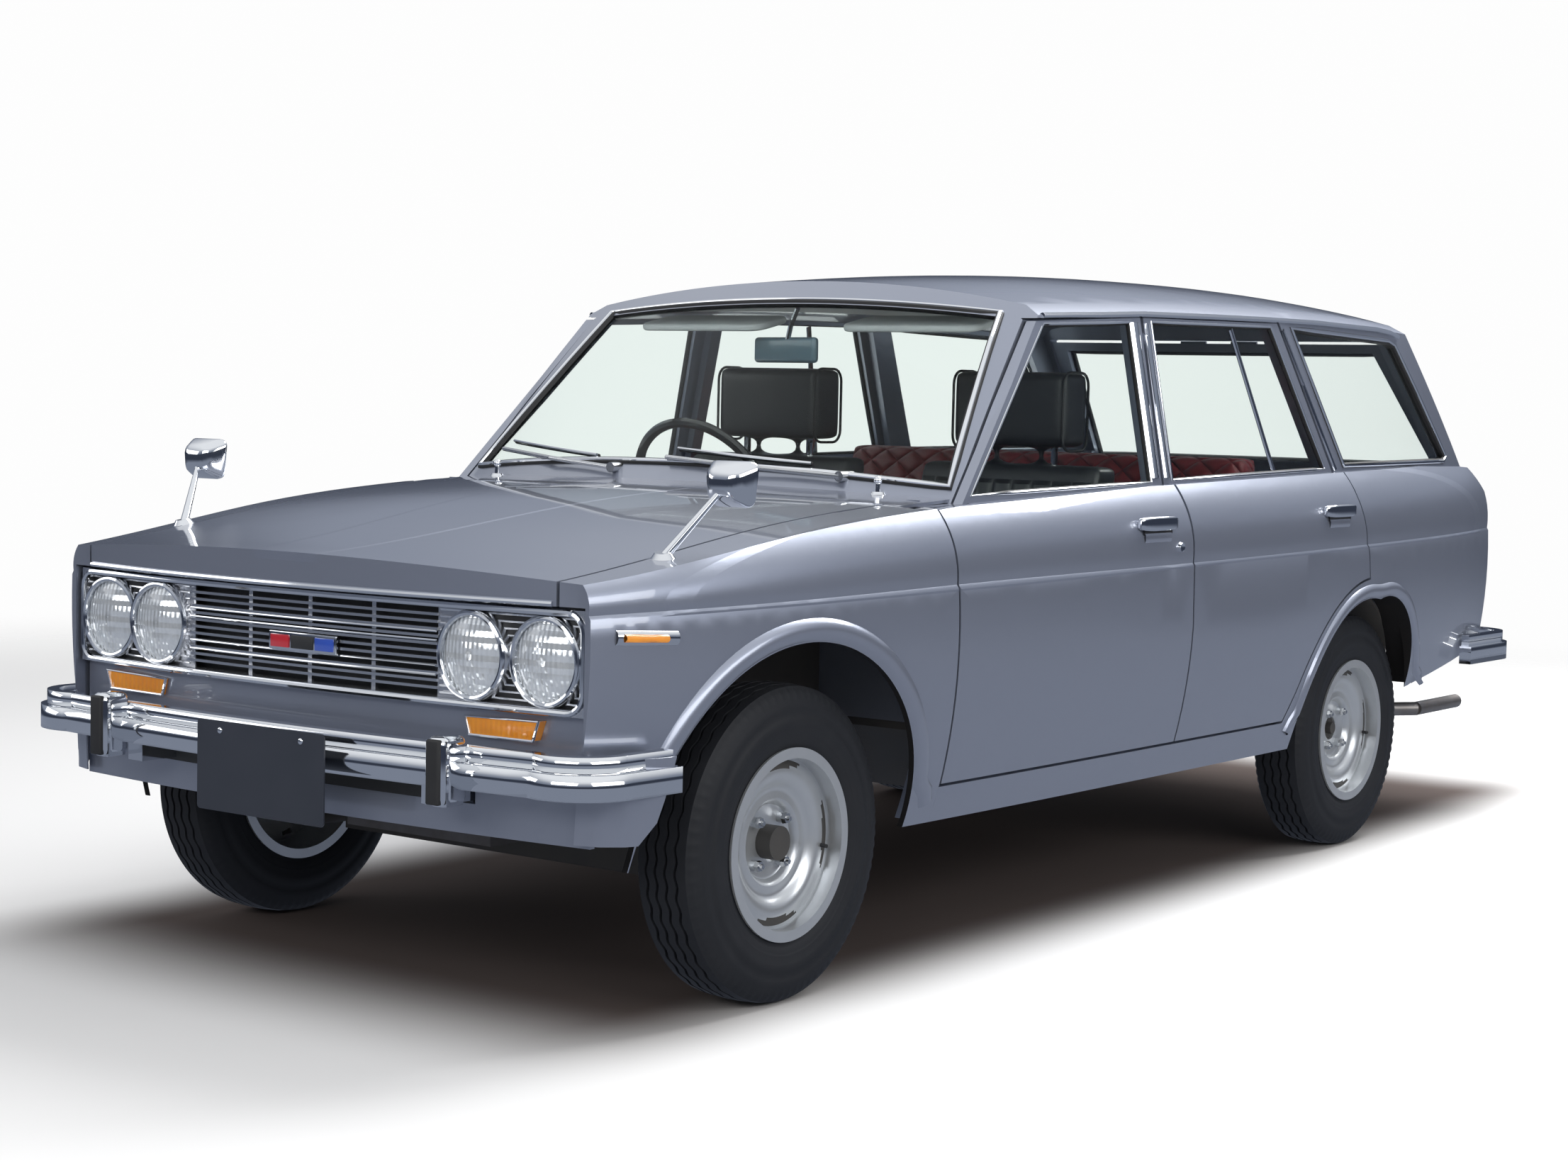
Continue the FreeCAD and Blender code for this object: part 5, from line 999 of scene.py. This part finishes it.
# Headlining, sun visors and mirror: pale grey perforated vinyl under the roof, two
# padded visors hinged above the windscreen, and a mirror on a short chromed stalk.
pale_vinyl = finish("pale_vinyl", (0.62, 0.64, 0.64), (0.56, 0.58, 0.58), 0.6, 0.1, 0.08, 0.0002, 0.003,
                    {"Specular IOR Level": 0.3})
roof_skin = skin(["roof_panel"])
shape = bmesh.new()
bmesh.ops.create_grid(shape, x_segments=20, y_segments=30, size=1)
for vert in shape.verts:
    x, y = vert.co.x * 0.50, 0.47 + vert.co.y * 0.90
    hit = roof_skin.ray_cast(Vector((x, y, 1.0)), Vector((0, 0, 1)))[0]
    vert.co = Vector((x, y, (hit.z if hit else 1.33) - 0.004))
faced(shape, Vector((0, 0, -1)))
bmesh.ops.solidify(shape, geom=shape.faces[:], thickness=-0.002)
piece("headlining", shape, pale_vinyl, "body")
for side, sign in sides:
    shape = bmesh.new()
    bmesh.ops.create_cube(shape, size=1)
    bmesh.ops.scale(shape, vec=(0.360, 0.130, 0.016), verts=shape.verts)
    rounded(shape, [e for e in shape.edges if abs((e.verts[0].co - e.verts[1].co).z) > 0.01], 0.035, 6)
    rounded(shape, [e for e in shape.edges if e.calc_face_angle(0) > 1.2], 0.006, 3)
    turned = Matrix.Translation((sign * 0.290, -0.395, 1.283)) @ Matrix.Rotation(math.radians(12), 4, "X")
    bmesh.ops.transform(shape, matrix=turned, verts=shape.verts)
    visor = piece("sun_visor_" + side, shape, pale_vinyl, "body")
shape = block((0.215, 0.020, 0.058), 0.009, 4)
turned = Matrix.Translation((-0.060, -0.420, 1.222)) @ Matrix.Rotation(math.radians(-14), 4, "Z")
bmesh.ops.transform(shape, matrix=turned, verts=shape.verts)
mirror_back = finish("mirror_back", (0.10, 0.17, 0.21), (0.08, 0.14, 0.18), 0.3, 0.06, 0.05,
                     0.00002, 0.003, {"Coat Weight": 0.5})
piece("cabin_mirror", shape, mirror_back, "body")
stalk = [Vector((-0.060, -0.418, 1.235)), Vector((-0.030, -0.445, 1.275)), Vector((0, -0.460, 1.315))]
bead("cabin_mirror_stalk", stalk, 0.006, False, chrome, "body")

# The size of the dressed car.
low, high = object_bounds()
